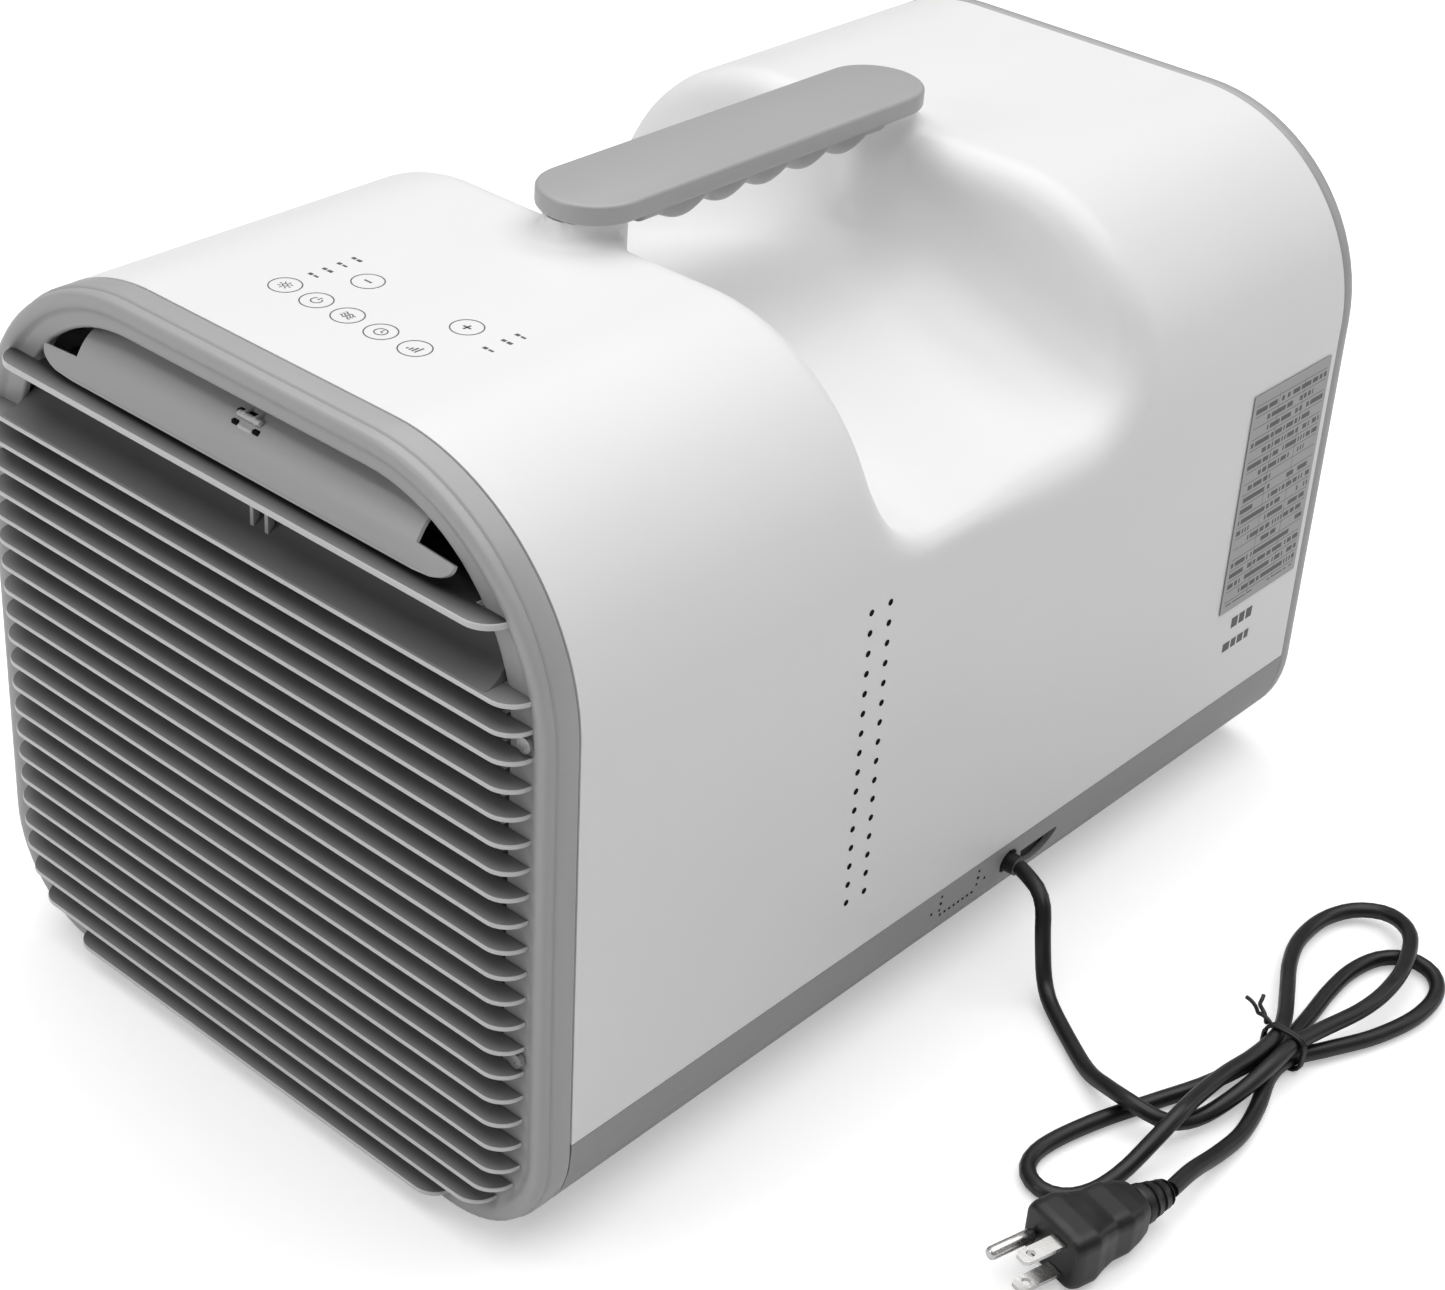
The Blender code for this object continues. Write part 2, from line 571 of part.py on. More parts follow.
def finned(name, low, high, count):
    """A fin-and-tube coil, drawn as a block with grooves down both faces."""
    coil = block(name, low, high, ALUMINIUM)
    grooves = bmesh.new()
    width = (high[0] - low[0]) / (2 * count + 1)
    for index in range(count):
        for y in (low[1], high[1]):
            spot = Matrix.Translation((low[0] + width * (2 * index + 1.5), y, (low[2] + high[2]) / 2))
            size = Matrix.Diagonal((width, 0.010, (high[2] - low[2]) * 0.94, 1.0))
            bmesh.ops.create_cube(grooves, size=1.0, matrix=spot @ size)
    data = bpy.data.meshes.new(f"{name}_grooves")
    grooves.to_mesh(data)
    grooves.free()
    cut(coil, place(f"{name}_grooves", data, ALUMINIUM, CUTTERS))


def make_air_path():
    """Filter, evaporator, drip tray, blower and the duct up to the outlet."""
    frame = box_outline(-0.108, 0.030, 0.108, 0.213)
    bars = [box_outline(-0.104 + i * 0.0525, 0.034, -0.0545 + i * 0.0525, 0.209) for i in range(4)]
    prism("air_filter", [frame, *bars], -0.2095, -0.2065, "Y", MESH)
    finned("evaporator", (-0.100, -0.2020, 0.030), (0.100, -0.1740, 0.212), 20)
    tray = block("drip_tray", (-0.104, -0.2040, 0.0065), (0.104, -0.1680, 0.0270), DARK)
    cut(tray, block("drip_tray_hollow", (-0.102, -0.2020, 0.0085), (0.102, -0.1700, 0.04), DARK, CUTTERS))
    centre = (0.0, -0.1330, 0.1200)
    spiral = []
    for i in range(25):
        angle = math.radians(65 - 310 * i / 24)
        radius = 0.072 + 0.020 * i / 24
        spiral.append((radius * math.cos(angle), centre[2] + radius * math.sin(angle)))
    outlet_x, outlet_z = spiral[0][0], 0.2150
    left_x = spiral[-1][0]
    outer = [(outlet_x, outlet_z), *spiral, (left_x, outlet_z)]
    casing = prism("blower_casing", [outer], -0.1640, -0.1080, "Y", DARK, smooth=True)
    shrink = 1 - 0.0022 / 0.080
    inner = [(x * shrink, centre[2] + (z - centre[2]) * shrink) for x, z in spiral]
    inner = [(inner[0][0], outlet_z + 0.01), *inner, (inner[-1][0], outlet_z + 0.01)]
    cut(casing, prism("casing_hollow", [inner], -0.1620, -0.1100, "Y", DARK, CUTTERS))
    cut(casing, rod("casing_inlet", (0, -0.170, 0.120), (0, -0.150, 0.120), 0.045, DARK, CUTTERS))
    cut(casing, rod("casing_shaft_hole", (0, -0.115, 0.120), (0, -0.100, 0.120), 0.012, DARK, CUTTERS))
    duct_outer = [(-0.1640, 0.2160), (-0.2030, 0.2440), (-0.2030, 0.2585), (-0.1980, 0.2722)]
    duct_outer += [(-0.1400, 0.2722), (-0.1060, 0.2500), (-0.1060, 0.2160)]
    duct = prism("outlet_duct", [duct_outer], -0.0860, 0.0730, "X", DARK)
    duct_inner = [(-0.1620, 0.2100), (-0.1620, 0.2175), (-0.2100, 0.2510), (-0.2100, 0.2704)]
    duct_inner += [(-0.1405, 0.2704), (-0.1080, 0.2490), (-0.1080, 0.2100)]
    cut(duct, prism("duct_hollow", [duct_inner], -0.0842, 0.0712, "X", DARK, CUTTERS))
    make_blower(centre)


def make_blower(centre):
    """Centrifugal wheel, its shaft and its motor on one axis along Y."""
    x, y, z = centre
    wheel = rod("blower_wheel", (x, -0.1150, z), (x, -0.1130, z), 0.062, DARK, sides=40)
    vanes = bmesh.new()
    for index in range(26):
        angle = 2 * math.pi * index / 26
        around = Matrix.Translation((x, 0, z)) @ Matrix.Rotation(angle, 4, "Y")
        lean = Matrix.Translation((0.0555, -0.1345, 0)) @ Matrix.Rotation(math.radians(28), 4, "Y")
        size = Matrix.Diagonal((0.0110, 0.0400, 0.0012, 1.0))
        bmesh.ops.create_cube(vanes, size=1.0, matrix=around @ lean @ size)
    data = bpy.data.meshes.new("blower_vanes")
    vanes.to_mesh(data)
    vanes.free()
    cut(wheel, place("blower_vanes", data, DARK, CUTTERS), "UNION")
    ring = rod("blower_ring", (x, -0.1560, z), (x, -0.1530, z), 0.062, DARK, CUTTERS, sides=40)
    cut(ring, rod("blower_ring_bore", (x, -0.160, z), (x, -0.150, z), 0.0475, DARK, CUTTERS, sides=40))
    cut(wheel, ring, "UNION")
    cut(wheel, rod("blower_hub", (x, -0.1310, z), (x, -0.1140, z), 0.0100, DARK, CUTTERS), "UNION")
    cut(wheel, rod("blower_bore", (x, -0.1400, z), (x, -0.1000, z), 0.0035, DARK, CUTTERS, sides=16))
    hinge_at(wheel, centre)
    shaft = rod("blower_shaft", (x, -0.1290, z), (x, -0.0860, z), 0.0030, STEEL, sides=16)
    hinge_at(shaft, centre)
    motor = rod("blower_motor", (x, -0.1070, z), (x, -0.0830, z), 0.0300, STEEL, sides=32)
    bore = rod("blower_motor_bore", (x, -0.112, z), (x, -0.0855, z), 0.0035, STEEL, CUTTERS, sides=16)
    cut(motor, bore)


def make_bulkhead():
    """Wall between the cold side and the machine bay."""
    wall = prism("bulkhead", [housing(WALL + GAP)], -0.0795, -0.0775, "Y", DARK)
    for index, (x, z) in enumerate(((0.060, 0.090), (0.075, 0.150), (-0.095, 0.180))):
        name = f"bulkhead_pass_{index}"
        cut(wall, rod(name, (x, -0.09, z), (x, -0.07, z), 0.0075, DARK, CUTTERS, sides=16))


def make_condenser_side():
    """Condenser, axial fan, its shroud and its motor, all on one axis along Y."""
    z = 0.1200
    finned("condenser", (-0.105, 0.1900, 0.016), (0.105, 0.2180, 0.224), 20)
    hole = arc((0.0, z), 0.0900, 0, 352.5, 47)
    plate = box_outline(-0.108, 0.0145, 0.108, 0.2255)
    shroud = prism("fan_shroud", [plate, hole], 0.1820, 0.1850, "Y", DARK, smooth=True)
    rim = arc((0.0, z), 0.0930, 0, 352.5, 47)
    collar = prism("shroud_collar", [rim, hole], 0.1500, 0.1830, "Y", DARK, CUTTERS)
    cut(shroud, collar, "UNION")
    centre = (0.0, 0.1650, z)
    fan = rod("condenser_fan", (0, 0.1560, z), (0, 0.1740, z), 0.0220, DARK, sides=32)
    blades = bmesh.new()
    for index in range(5):
        around = Matrix.Translation((0, 0, z)) @ Matrix.Rotation(2 * math.pi * index / 5, 4, "Y")
        pitch = Matrix.Translation((0.0520, 0.1650, 0)) @ Matrix.Rotation(math.radians(24), 4, "X")
        size = Matrix.Diagonal((0.0660, 0.0020, 0.0400, 1.0))
        bmesh.ops.create_cube(blades, size=1.0, matrix=around @ pitch @ size)
    data = bpy.data.meshes.new("fan_blades")
    blades.to_mesh(data)
    blades.free()
    cut(fan, place("fan_blades", data, DARK, CUTTERS), "UNION")
    cut(fan, rod("fan_bore", (0, 0.150, z), (0, 0.168, z), 0.0035, DARK, CUTTERS, sides=16))
    hinge_at(fan, centre)
    hinge_at(rod("fan_shaft", (0, 0.1150, z), (0, 0.1660, z), 0.0030, STEEL, sides=16), centre)
    motor = rod("fan_motor", (0, 0.1120, z), (0, 0.1480, z), 0.0300, STEEL, sides=32)
    bore = rod("fan_motor_bore", (0, 0.1145, z), (0, 0.1550, z), 0.0035, STEEL, CUTTERS, sides=16)
    cut(motor, bore)
    bracket = [(-0.0145, 0.0060), (0.0145, 0.0060), (0.0145, 0.0880), (-0.0145, 0.0880)]
    prism("fan_motor_bracket", [bracket], 0.1180, 0.1210, "Y", STEEL)


def make_compressor():
    """Rotary compressor on three rubber mounts, its accumulator and the refrigerant pipes."""
    dome = [(0.0, 0.1700), (0.018, 0.1685), (0.034, 0.1630), (0.0425, 0.1540), (0.0450, 0.1440)]
    bowl = [(0.0450, 0.0340), (0.0425, 0.0260), (0.034, 0.0200), (0.0, 0.0185)]
    turned("compressor", dome + bowl, (-0.010, 0.010, 0.0), PAINT)
    can = [(0.0, 0.1400), (0.008, 0.1390), (0.0140, 0.1330), (0.0160, 0.1250)]
    can += [(0.0160, 0.0700), (0.0140, 0.0620), (0.008, 0.0580), (0.0, 0.0575)]
    turned("accumulator", can, (0.058, 0.010, 0.0), PAINT, 20)
    for index in range(3):
        angle = math.radians(90 + 120 * index)
        x = -0.010 + 0.028 * math.cos(angle)
        y = 0.010 + 0.028 * math.sin(angle)
        rod(f"compressor_mount_{index + 1}", (x, y, 0.0060), (x, y, 0.0180), 0.0080, RUBBER, sides=16)
    suction = [(0.058, 0.010, 0.1405), (0.058, 0.010, 0.1520), (0.060, 0.004, 0.1580)]
    suction += [(0.066, -0.012, 0.1560), (0.074, -0.032, 0.1510), (0.075, -0.055, 0.1500)]
    suction += [(0.075, -0.0900, 0.1500), (0.076, -0.1200, 0.1490)]
    suction += [(0.084, -0.1500, 0.1450), (0.086, -0.1735, 0.1440)]
    tube("suction_pipe", suction, 0.0040, COPPER)
    discharge = [(-0.010, 0.010, 0.1703), (-0.010, 0.010, 0.1800), (-0.006, 0.016, 0.1860)]
    discharge += [(0.004, 0.030, 0.1880), (0.030, 0.062, 0.1880), (0.060, 0.090, 0.1880)]
    discharge += [(0.0980, 0.1200, 0.1900), (0.1112, 0.1500, 0.1950)]
    discharge += [(0.1122, 0.1800, 0.1980), (0.1115, 0.2030, 0.2000)]
    tube("discharge_pipe", discharge, 0.0030, COPPER)
    liquid = [(0.1085, 0.2040, 0.040), (0.1110, 0.1850, 0.040), (0.1110, 0.1500, 0.040)]
    liquid += [(0.1000, 0.1000, 0.042), (0.0900, 0.0400, 0.060), (0.0700, -0.0300, 0.085)]
    liquid += [(0.0600, -0.0700, 0.0900), (0.0620, -0.0850, 0.0900), (0.0980, -0.1030, 0.0880)]
    liquid += [(0.1000, -0.1200, 0.0850), (0.1000, -0.1600, 0.0800), (0.0950, -0.1733, 0.0780)]
    tube("capillary_pipe", liquid, 0.0016, COPPER)


def make_controls():
    """Touch board under the top panel, the main board and the run capacitor."""
    block("touch_board", (-0.045, -0.1830, 0.2762), (0.052, -0.1400, 0.2776), BOARD)
    block("main_board", (-0.1120, -0.0300, 0.0650), (-0.1104, 0.0650, 0.1650), BOARD)
    rod("run_capacitor", (-0.0850, 0.0350, 0.0700), (-0.0850, 0.0350, 0.1150), 0.0140, ALUMINIUM)


def make_screws():
    """Four screws that hold the grille to the frame, between the ends of its blades."""
    for sign, side in ((-1, "left"), (1, "right")):
        for blade, row in ((1, "upper"), (13, "lower")):
            z = LOUVRE_FIRST - LOUVRE_PITCH * (blade + 0.5)
            x = sign * 0.1262
            name = f"grille_screw_{row}_{side}"
            rod(name, (x, -0.2238, z), (x, FRAME_STEP - GAP, z), 0.0028, STEEL, sides=16)


def smooth_path(points, step):
    """Points a step apart along a smooth curve through the given ones."""
    points = [Vector(p) for p in points]
    padded = [2 * points[0] - points[1], *points, 2 * points[-1] - points[-2]]
    fine = []
    for a, b, c, d in zip(padded, padded[1:], padded[2:], padded[3:]):
        for i in range(12):
            t = i / 12
            bow = (2 * a - 5 * b + 4 * c - d) * t * t + (3 * b - a - 3 * c + d) * t ** 3
            fine.append(0.5 * (2 * b + (c - a) * t + bow))
    fine.append(points[-1])
    lengths = [0.0]
    for a, b in zip(fine, fine[1:]):
        lengths.append(lengths[-1] + (b - a).length)
    count = round(lengths[-1] / step)
    path, index = [], 0
    for i in range(count + 1):
        target = lengths[-1] * i / count
        while index < len(lengths) - 2 and lengths[index + 1] < target:
            index += 1
        span = lengths[index + 1] - lengths[index]
        path.append(fine[index].lerp(fine[index + 1], (target - lengths[index]) / span))
    return path


def make_cord():
    """Mains cord with its grommet, tie and three-pin plug."""
    start = (0.1180, EXIT.y, EXIT.z)
    end = (EXIT.x + GROMMET_OUT, EXIT.y, EXIT.z)
    grommet = rod("cord_grommet", start, end, 0.0048, BLACK, end_radius=0.0040)
    near = (0.1290, EXIT.y, EXIT.z)
    far = (0.1336, EXIT.y, EXIT.z)
    cut(grommet, rod("grommet_flange", near, far, 0.0075, BLACK, CUTTERS), "UNION")
    tube("power_cord", smooth_path(CORD_ROUTE, CORD_STEP), CORD_RADIUS, BLACK)
    tie_x, tie_y = 0.2567, 0.0484
    outer = [(x + tie_x, z) for x, z in rounded(0.0093, 0.0002, 0.0170, 0.0042, 0.0042, count=3)]
    inner = [(x + tie_x, z) for x, z in rounded(0.0084, 0.0010, 0.0162, 0.0033, 0.0033, count=3)]
    prism("cord_tie", [outer, inner], tie_y - 0.0017, tie_y + 0.0017, "Y", BLACK)
    make_plug()


def on_plug(along, across, up):
    """A point on the plug, measured from the middle of its face."""
    return PLUG_FACE + PLUG_BACK * along + PLUG_SIDE * across + Vector((0, 0, up))


def plug_box(name, low, high, finish, group=None):
    """A box in the plug's own directions."""
    piece = block(name, low, high, finish, group)
    turn = Matrix((PLUG_SIDE, PLUG_BACK, Vector((0, 0, 1)))).transposed().to_4x4()
    piece.data.transform(Matrix.Translation(PLUG_FACE) @ turn)
    return piece


def make_plug():
    """Grounded plug lying on its side: body, ribbed relief, two flat blades and a round pin."""
    body = plug_box("plug_body", (-0.0140, 0.0, -0.0112), (0.0140, PLUG_LENGTH, 0.0112), BLACK)
    rounding = body.modifiers.new("edge", "BEVEL")
    rounding.width = 0.0045
    rounding.segments = 3
    start = on_plug(PLUG_LENGTH + GAP, 0, 0)
    end = on_plug(PLUG_LENGTH + RELIEF_LENGTH, 0, 0)
    rod("plug_relief", start, end, 0.0075, BLACK, end_radius=0.0048)
    for side, up in (("upper", 0.00635), ("lower", -0.00635)):
        low = (0.0010, -0.0170, up - 0.00075)
        high = (0.0073, -GAP, up + 0.00075)
        blade = plug_box(f"plug_blade_{side}", low, high, NICKEL)
        below = on_plug(-0.0125, 0.0042, up - 0.004)
        above = on_plug(-0.0125, 0.0042, up + 0.004)
        cut(blade, rod(f"blade_hole_{side}", below, above, 0.0015, NICKEL, CUTTERS, 12))
    rod("plug_ground_pin", on_plug(-GAP, -0.0077, 0), on_plug(-0.0200, -0.0077, 0), 0.0024, NICKEL, sides=16)


make_shell()
make_base()
make_front_frame()
make_grille()
make_lip()
make_vane()
make_handle()
make_rear()
make_label()
make_air_path()
make_bulkhead()
make_condenser_side()
make_compressor()
make_controls()
make_screws()
make_cord()
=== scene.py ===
"""Visual model of a compact portable air conditioner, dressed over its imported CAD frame.

Everything is in metres in the CAD's own frame: +Z is up, the louvred front faces -Y, and the
mains cord leaves the side that faces +X.
"""

import logging
import math
from dataclasses import dataclass
from enum import Enum
from itertools import product
from typing import Callable, Optional, Sequence

import bmesh
import bpy
import numpy as np
from mathutils import Matrix, Vector

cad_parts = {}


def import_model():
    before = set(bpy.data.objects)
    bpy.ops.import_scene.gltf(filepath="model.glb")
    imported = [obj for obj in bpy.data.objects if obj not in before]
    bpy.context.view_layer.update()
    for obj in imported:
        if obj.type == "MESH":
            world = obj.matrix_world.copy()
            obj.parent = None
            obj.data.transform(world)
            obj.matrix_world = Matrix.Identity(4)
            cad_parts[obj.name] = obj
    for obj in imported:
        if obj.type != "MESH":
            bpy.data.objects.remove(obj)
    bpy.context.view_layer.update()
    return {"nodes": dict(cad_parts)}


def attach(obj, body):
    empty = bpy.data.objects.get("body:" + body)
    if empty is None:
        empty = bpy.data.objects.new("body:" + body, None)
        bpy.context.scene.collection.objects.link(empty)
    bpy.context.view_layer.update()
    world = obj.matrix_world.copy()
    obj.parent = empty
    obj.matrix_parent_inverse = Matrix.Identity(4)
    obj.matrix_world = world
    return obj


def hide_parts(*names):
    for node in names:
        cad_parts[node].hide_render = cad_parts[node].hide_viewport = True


LOG = logging.getLogger("portable_air_conditioner")
HOUSING = "housing"

# Clearance between neighbouring pieces that would otherwise touch.
GAP = 0.0003

Point2 = tuple[float, float]
Point3 = tuple[float, float, float]
Colour = tuple[float, float, float, float]
Inputs = tuple[tuple[str, object], ...]
Socket = bpy.types.NodeSocket
BMesh = bmesh.types.BMesh


class Ends(Enum):
    """How a row of cross-sections is joined up."""

    CLOSED = "closed"
    CAPPED = "capped"


class Pattern(Enum):
    """The shared node groups that finishes are made from."""

    MOULDED = "MouldedPlastic"
    SLOT = "SlotPlasticPaintedShade"
    METAL = "DrawnMetal"
    SOFT = "SoftCompound"
    FINS = "CoilFins"
    PLATE = "PrintedPlate"
    BOARD = "BoardTracks"
    WEAVE = "FilterWeave"


# --------------------------------------------------------------------------- node helpers


class Group:
    """A node group under construction, with named inputs and outputs."""

    def __init__(self, pattern: Pattern) -> None:
        """Start an empty group.

        Args:
            pattern: The pattern that the group draws, which names it.
        """
        self.tree = bpy.data.node_groups.new(pattern.value, "ShaderNodeTree")
        self.entry = self.tree.nodes.new("NodeGroupInput")
        self.exit = self.tree.nodes.new("NodeGroupOutput")

    def take(self, name: str, kind: str, value: object = None) -> Socket:
        """Add an input socket.

        Args:
            name: The socket's name.
            kind: Float, Color or Vector.
            value: Its default value.

        Returns:
            The socket that carries the value inside the group.
        """
        made = self.tree.interface.new_socket(name=name, in_out="INPUT", socket_type=f"NodeSocket{kind}")
        if value is not None:
            made.default_value = value
        return self.entry.outputs[name]

    def give(self, name: str, kind: str, source: Socket) -> None:
        """Add an output socket fed by a source."""
        self.tree.interface.new_socket(name=name, in_out="OUTPUT", socket_type=f"NodeSocket{kind}")
        self.tree.links.new(source, self.exit.inputs[name])

    def add(self, kind: str, **settings: object) -> bpy.types.Node:
        """Add a node and set its properties.

        Args:
            kind: The node's type, without its usual prefix.
            settings: Its properties by name.

        Returns:
            The new node.
        """
        node = self.tree.nodes.new(f"ShaderNode{kind}")
        for key, value in settings.items():
            setattr(node, key, value)
        return node

    def feed(self, node: bpy.types.Node, index: object, source: object) -> None:
        """Connect a socket to an input, or set the input to a constant.

        Args:
            node: The node to feed.
            index: The input's name or number.
            source: A socket, or a constant.
        """
        if isinstance(source, Socket):
            self.tree.links.new(source, node.inputs[index])
        else:
            node.inputs[index].default_value = source

    def math(self, operation: str, *sources: object) -> Socket:
        """Add a Math node and return its result.

        Args:
            operation: The node's operation.
            sources: Its inputs in order, as sockets or constants.

        Returns:
            The result.
        """
        node = self.add("Math", operation=operation)
        for index, source in enumerate(sources):
            self.feed(node, index, source)
        return node.outputs[0]

    def noise(self, where: object, scale: float, detail: float = 2.0) -> Socket:
        """Add a noise texture read at a vector and return its factor.

        Args:
            where: The vector that it is read at.
            scale: Cells per metre, as a socket or a constant.
            detail: Octaves.

        Returns:
            The noise factor.
        """
        node = self.add("TexNoise")
        self.feed(node, "Vector", where)
        self.feed(node, "Scale", scale)
        node.inputs["Detail"].default_value = detail
        return node.outputs["Fac"]

    def stretch(self, where: object, amounts: Point3) -> Socket:
        """Scale a vector by axis.

        Args:
            where: The vector.
            amounts: Its factors along X, Y and Z.

        Returns:
            The scaled vector.
        """
        node = self.add("Mapping")
        self.feed(node, "Vector", where)
        node.inputs["Scale"].default_value = amounts
        return node.outputs["Vector"]

    def blend(self, amount: object, first: object, second: object) -> Socket:
        """Mix two colours.

        Args:
            amount: The share of the second colour.
            first: The first colour.
            second: The second colour.

        Returns:
            The blended colour.
        """
        node = self.add("Mix", data_type="RGBA")
        self.feed(node, 0, amount)
        self.feed(node, 6, first)
        self.feed(node, 7, second)
        return node.outputs[2]

    def band(self, value: object, old: Point2, new: Point2) -> Socket:
        """Remap a value from one range to another, clamped.

        Args:
            value: The value, as a socket or a constant.
            old: The range that the value comes in.
            new: The range that it goes out in.

        Returns:
            The remapped value.
        """
        node = self.add("MapRange")
        self.feed(node, 0, value)
        for index, amount in enumerate((*old, *new), start=1):
            node.inputs[index].default_value = amount
        return node.outputs[0]

    def place(self) -> Socket:
        """Object coordinates, in metres."""
        return self.add("TexCoord").outputs["Object"]

    def axes(self, where: object) -> bpy.types.NodeOutputs:
        """Split a vector into its X, Y and Z.

        Args:
            where: The vector.

        Returns:
            The outputs, by axis.
        """
        node = self.add("SeparateXYZ")
        self.feed(node, 0, where)
        return node.outputs

    def toned(self, colour: object, value: object) -> Socket:
        """Brighten or darken a colour by a factor.

        Args:
            colour: The colour, as a socket or a constant.
            value: The factor, as a socket or a constant.

        Returns:
            The new colour.
        """
        node = self.add("HueSaturation")
        self.feed(node, "Color", colour)
        self.feed(node, "Value", value)
        return node.outputs[0]

    def product(self, first: object, second: object) -> Socket:
        """Multiply two values."""
        return self.math("MULTIPLY", first, second)

    def within(self, value: object, low: float, high: float) -> Socket:
        """A mask that is 1 where a value lies between two limits."""
        return self.product(self.math("GREATER_THAN", value, low), self.math("LESS_THAN", value, high))

    def chance(self, across: object, row: object) -> Socket:
        """A random number for each cell of a table.

        Args:
            across: The cell's number along its row.
            row: The row's number.

        Returns:
            A number from 0 to 1.
        """
        cell = self.add("CombineXYZ")
        self.feed(cell, 0, across)
        self.feed(cell, 1, row)
        draw = self.add("TexWhiteNoise", noise_dimensions="2D")
        self.feed(draw, "Vector", cell.outputs[0])
        return draw.outputs[0]


# Repeats per metre: noise cells in a mould's texture, rows of tubes in a coil, threads in gauze.
FINE_GRAIN = 2600.0
TUBE_ROWS_PER_METRE = 48.0
THREADS_PER_METRE = 900.0
BLOOM_GREY: Colour = (0.11, 0.11, 0.115, 1.0)
FIN_SHADE: Colour = (0.05, 0.05, 0.055, 1.0)
FIN_METAL: Colour = (0.62, 0.64, 0.66, 1.0)
TRACK_GREEN: Colour = (0.16, 0.36, 0.14, 1.0)
GAUZE_SHADE: Colour = (0.012, 0.012, 0.014, 1.0)


@dataclass(frozen=True)
class PlateTable:
    """Sizes of the printed table, measured from the plate's lower near corner."""

    row: float = 0.0049
    dash: float = 0.00105
    word: float = 0.0115
    column: float = 0.0190
    sides: Point2 = (0.0022, 0.0546)
    ends: Point2 = (0.0030, 0.0945)


def moulded_group() -> bpy.types.NodeTree:
    """Moulded plastic: mould texture, slow flow marks and faint dust.

    Returns:
        The finished group.
    """
    group = Group(Pattern.MOULDED)
    colour = group.take("Colour", "Color", (0.8, 0.8, 0.8, 1.0))
    roughness = group.take("Roughness", "Float", 0.4)
    grain = group.take("Grain Scale", "Float", FINE_GRAIN)
    tint = group.take("Tint", "Float", 0.05)
    where = group.place()
    cloud = group.noise(where, 7.0, 3.0)
    fine = group.noise(where, grain, 1.0)
    flow = group.noise(group.stretch(where, (14.0, 3.0, 14.0)), 2.0, 2.0)
    dust = group.product(tint, group.band(cloud, (0.35, 0.7), (0.0, 1.0)))
    shade = group.math("SUBTRACT", 1.0, dust)
    spread = group.band(flow, (0.3, 0.7), (-0.035, 0.045))
    group.give("Colour", "Color", group.toned(colour, shade))
    group.give("Roughness", "Float", group.math("ADD", roughness, spread))
    group.give("Height", "Float", group.math("ADD", fine, group.product(flow, 0.6)))
    return group.tree


def slot_group() -> bpy.types.NodeTree:
    """Moulded plastic painted darker towards the back of a slot, as painted shade, broken up by noise.

    Returns:
        The finished group.
    """
    group = Group(Pattern.SLOT)
    colour = group.take("Front Colour", "Color", (0.2, 0.2, 0.2, 1.0))
    shade_colour = group.take("Painted Shade Colour", "Color", (0.05, 0.05, 0.05, 1.0))
    roughness = group.take("Roughness", "Float", 0.4)
    front = group.take("Front", "Float", -0.2305)
    depth = group.take("Depth", "Float", 0.0100)
    where = group.place()
    # Painted shade: the colour turns from the front colour to the darker one with depth behind the front
    # edge, where the parts above shade the slot.
    behind = group.math("SUBTRACT", group.axes(where)["Y"], front)
    share = group.math("DIVIDE", behind, depth)
    cloud = group.band(group.noise(where, 22.0, 3.0), (0.3, 0.7), (-0.12, 0.12))
    amount = group.band(group.math("ADD", share, cloud), (0.0, 1.0), (0.0, 1.0))
    fine = group.noise(where, FINE_GRAIN, 1.0)
    spread = group.band(cloud, (-0.12, 0.12), (-0.03, 0.05))
    group.give("Colour", "Color", group.blend(amount, colour, shade_colour))
    group.give("Roughness", "Float", group.math("ADD", roughness, spread))
    group.give("Height", "Float", fine)
    return group.tree


def metal_group() -> bpy.types.NodeTree:
    """Metal with fine drawing lines along one direction and faint tarnish.

    Returns:
        The finished group.
    """
    group = Group(Pattern.METAL)
    colour = group.take("Colour", "Color", (0.7, 0.7, 0.7, 1.0))
    roughness = group.take("Roughness", "Float", 0.3)
    direction = group.take("Stretch", "Vector", (1.0, 1.0, 1.0))
    where = group.place()
    scaled = group.add("VectorMath", operation="MULTIPLY")
    group.feed(scaled, 0, where)
    group.feed(scaled, 1, direction)
    lines = group.noise(scaled.outputs[0], 900.0, 2.0)
    tarnish = group.noise(where, 60.0, 4.0)
    spread = group.band(lines, (0.3, 0.7), (-0.07, 0.12))
    group.give("Colour", "Color", group.toned(colour, group.band(tarnish, (0.35, 0.75), (1.04, 0.80))))
    group.give("Roughness", "Float", group.math("ADD", roughness, spread))
    group.give("Height", "Float", lines)
    return group.tree


def soft_group() -> bpy.types.NodeTree:
    """Rubber or PVC: a soft skin with scuffs and a little bloom.

    Returns:
        The finished group.
    """
    group = Group(Pattern.SOFT)
    colour = group.take("Colour", "Color", (0.02, 0.02, 0.02, 1.0))
    roughness = group.take("Roughness", "Float", 0.5)
    bloom = group.take("Bloom", "Float", 0.3)
    where = group.place()
    patch = group.noise(where, 90.0, 4.0)
    pores = group.noise(where, 4200.0, 1.0)
    amount = group.product(bloom, group.band(patch, (0.45, 0.8), (0.0, 1.0)))
    spread = group.band(patch, (0.3, 0.7), (-0.06, 0.10))
    group.give("Colour", "Color", group.blend(amount, colour, BLOOM_GREY))
    group.give("Roughness", "Float", group.math("ADD", roughness, spread))
    group.give("Height", "Float", pores)
    return group.tree


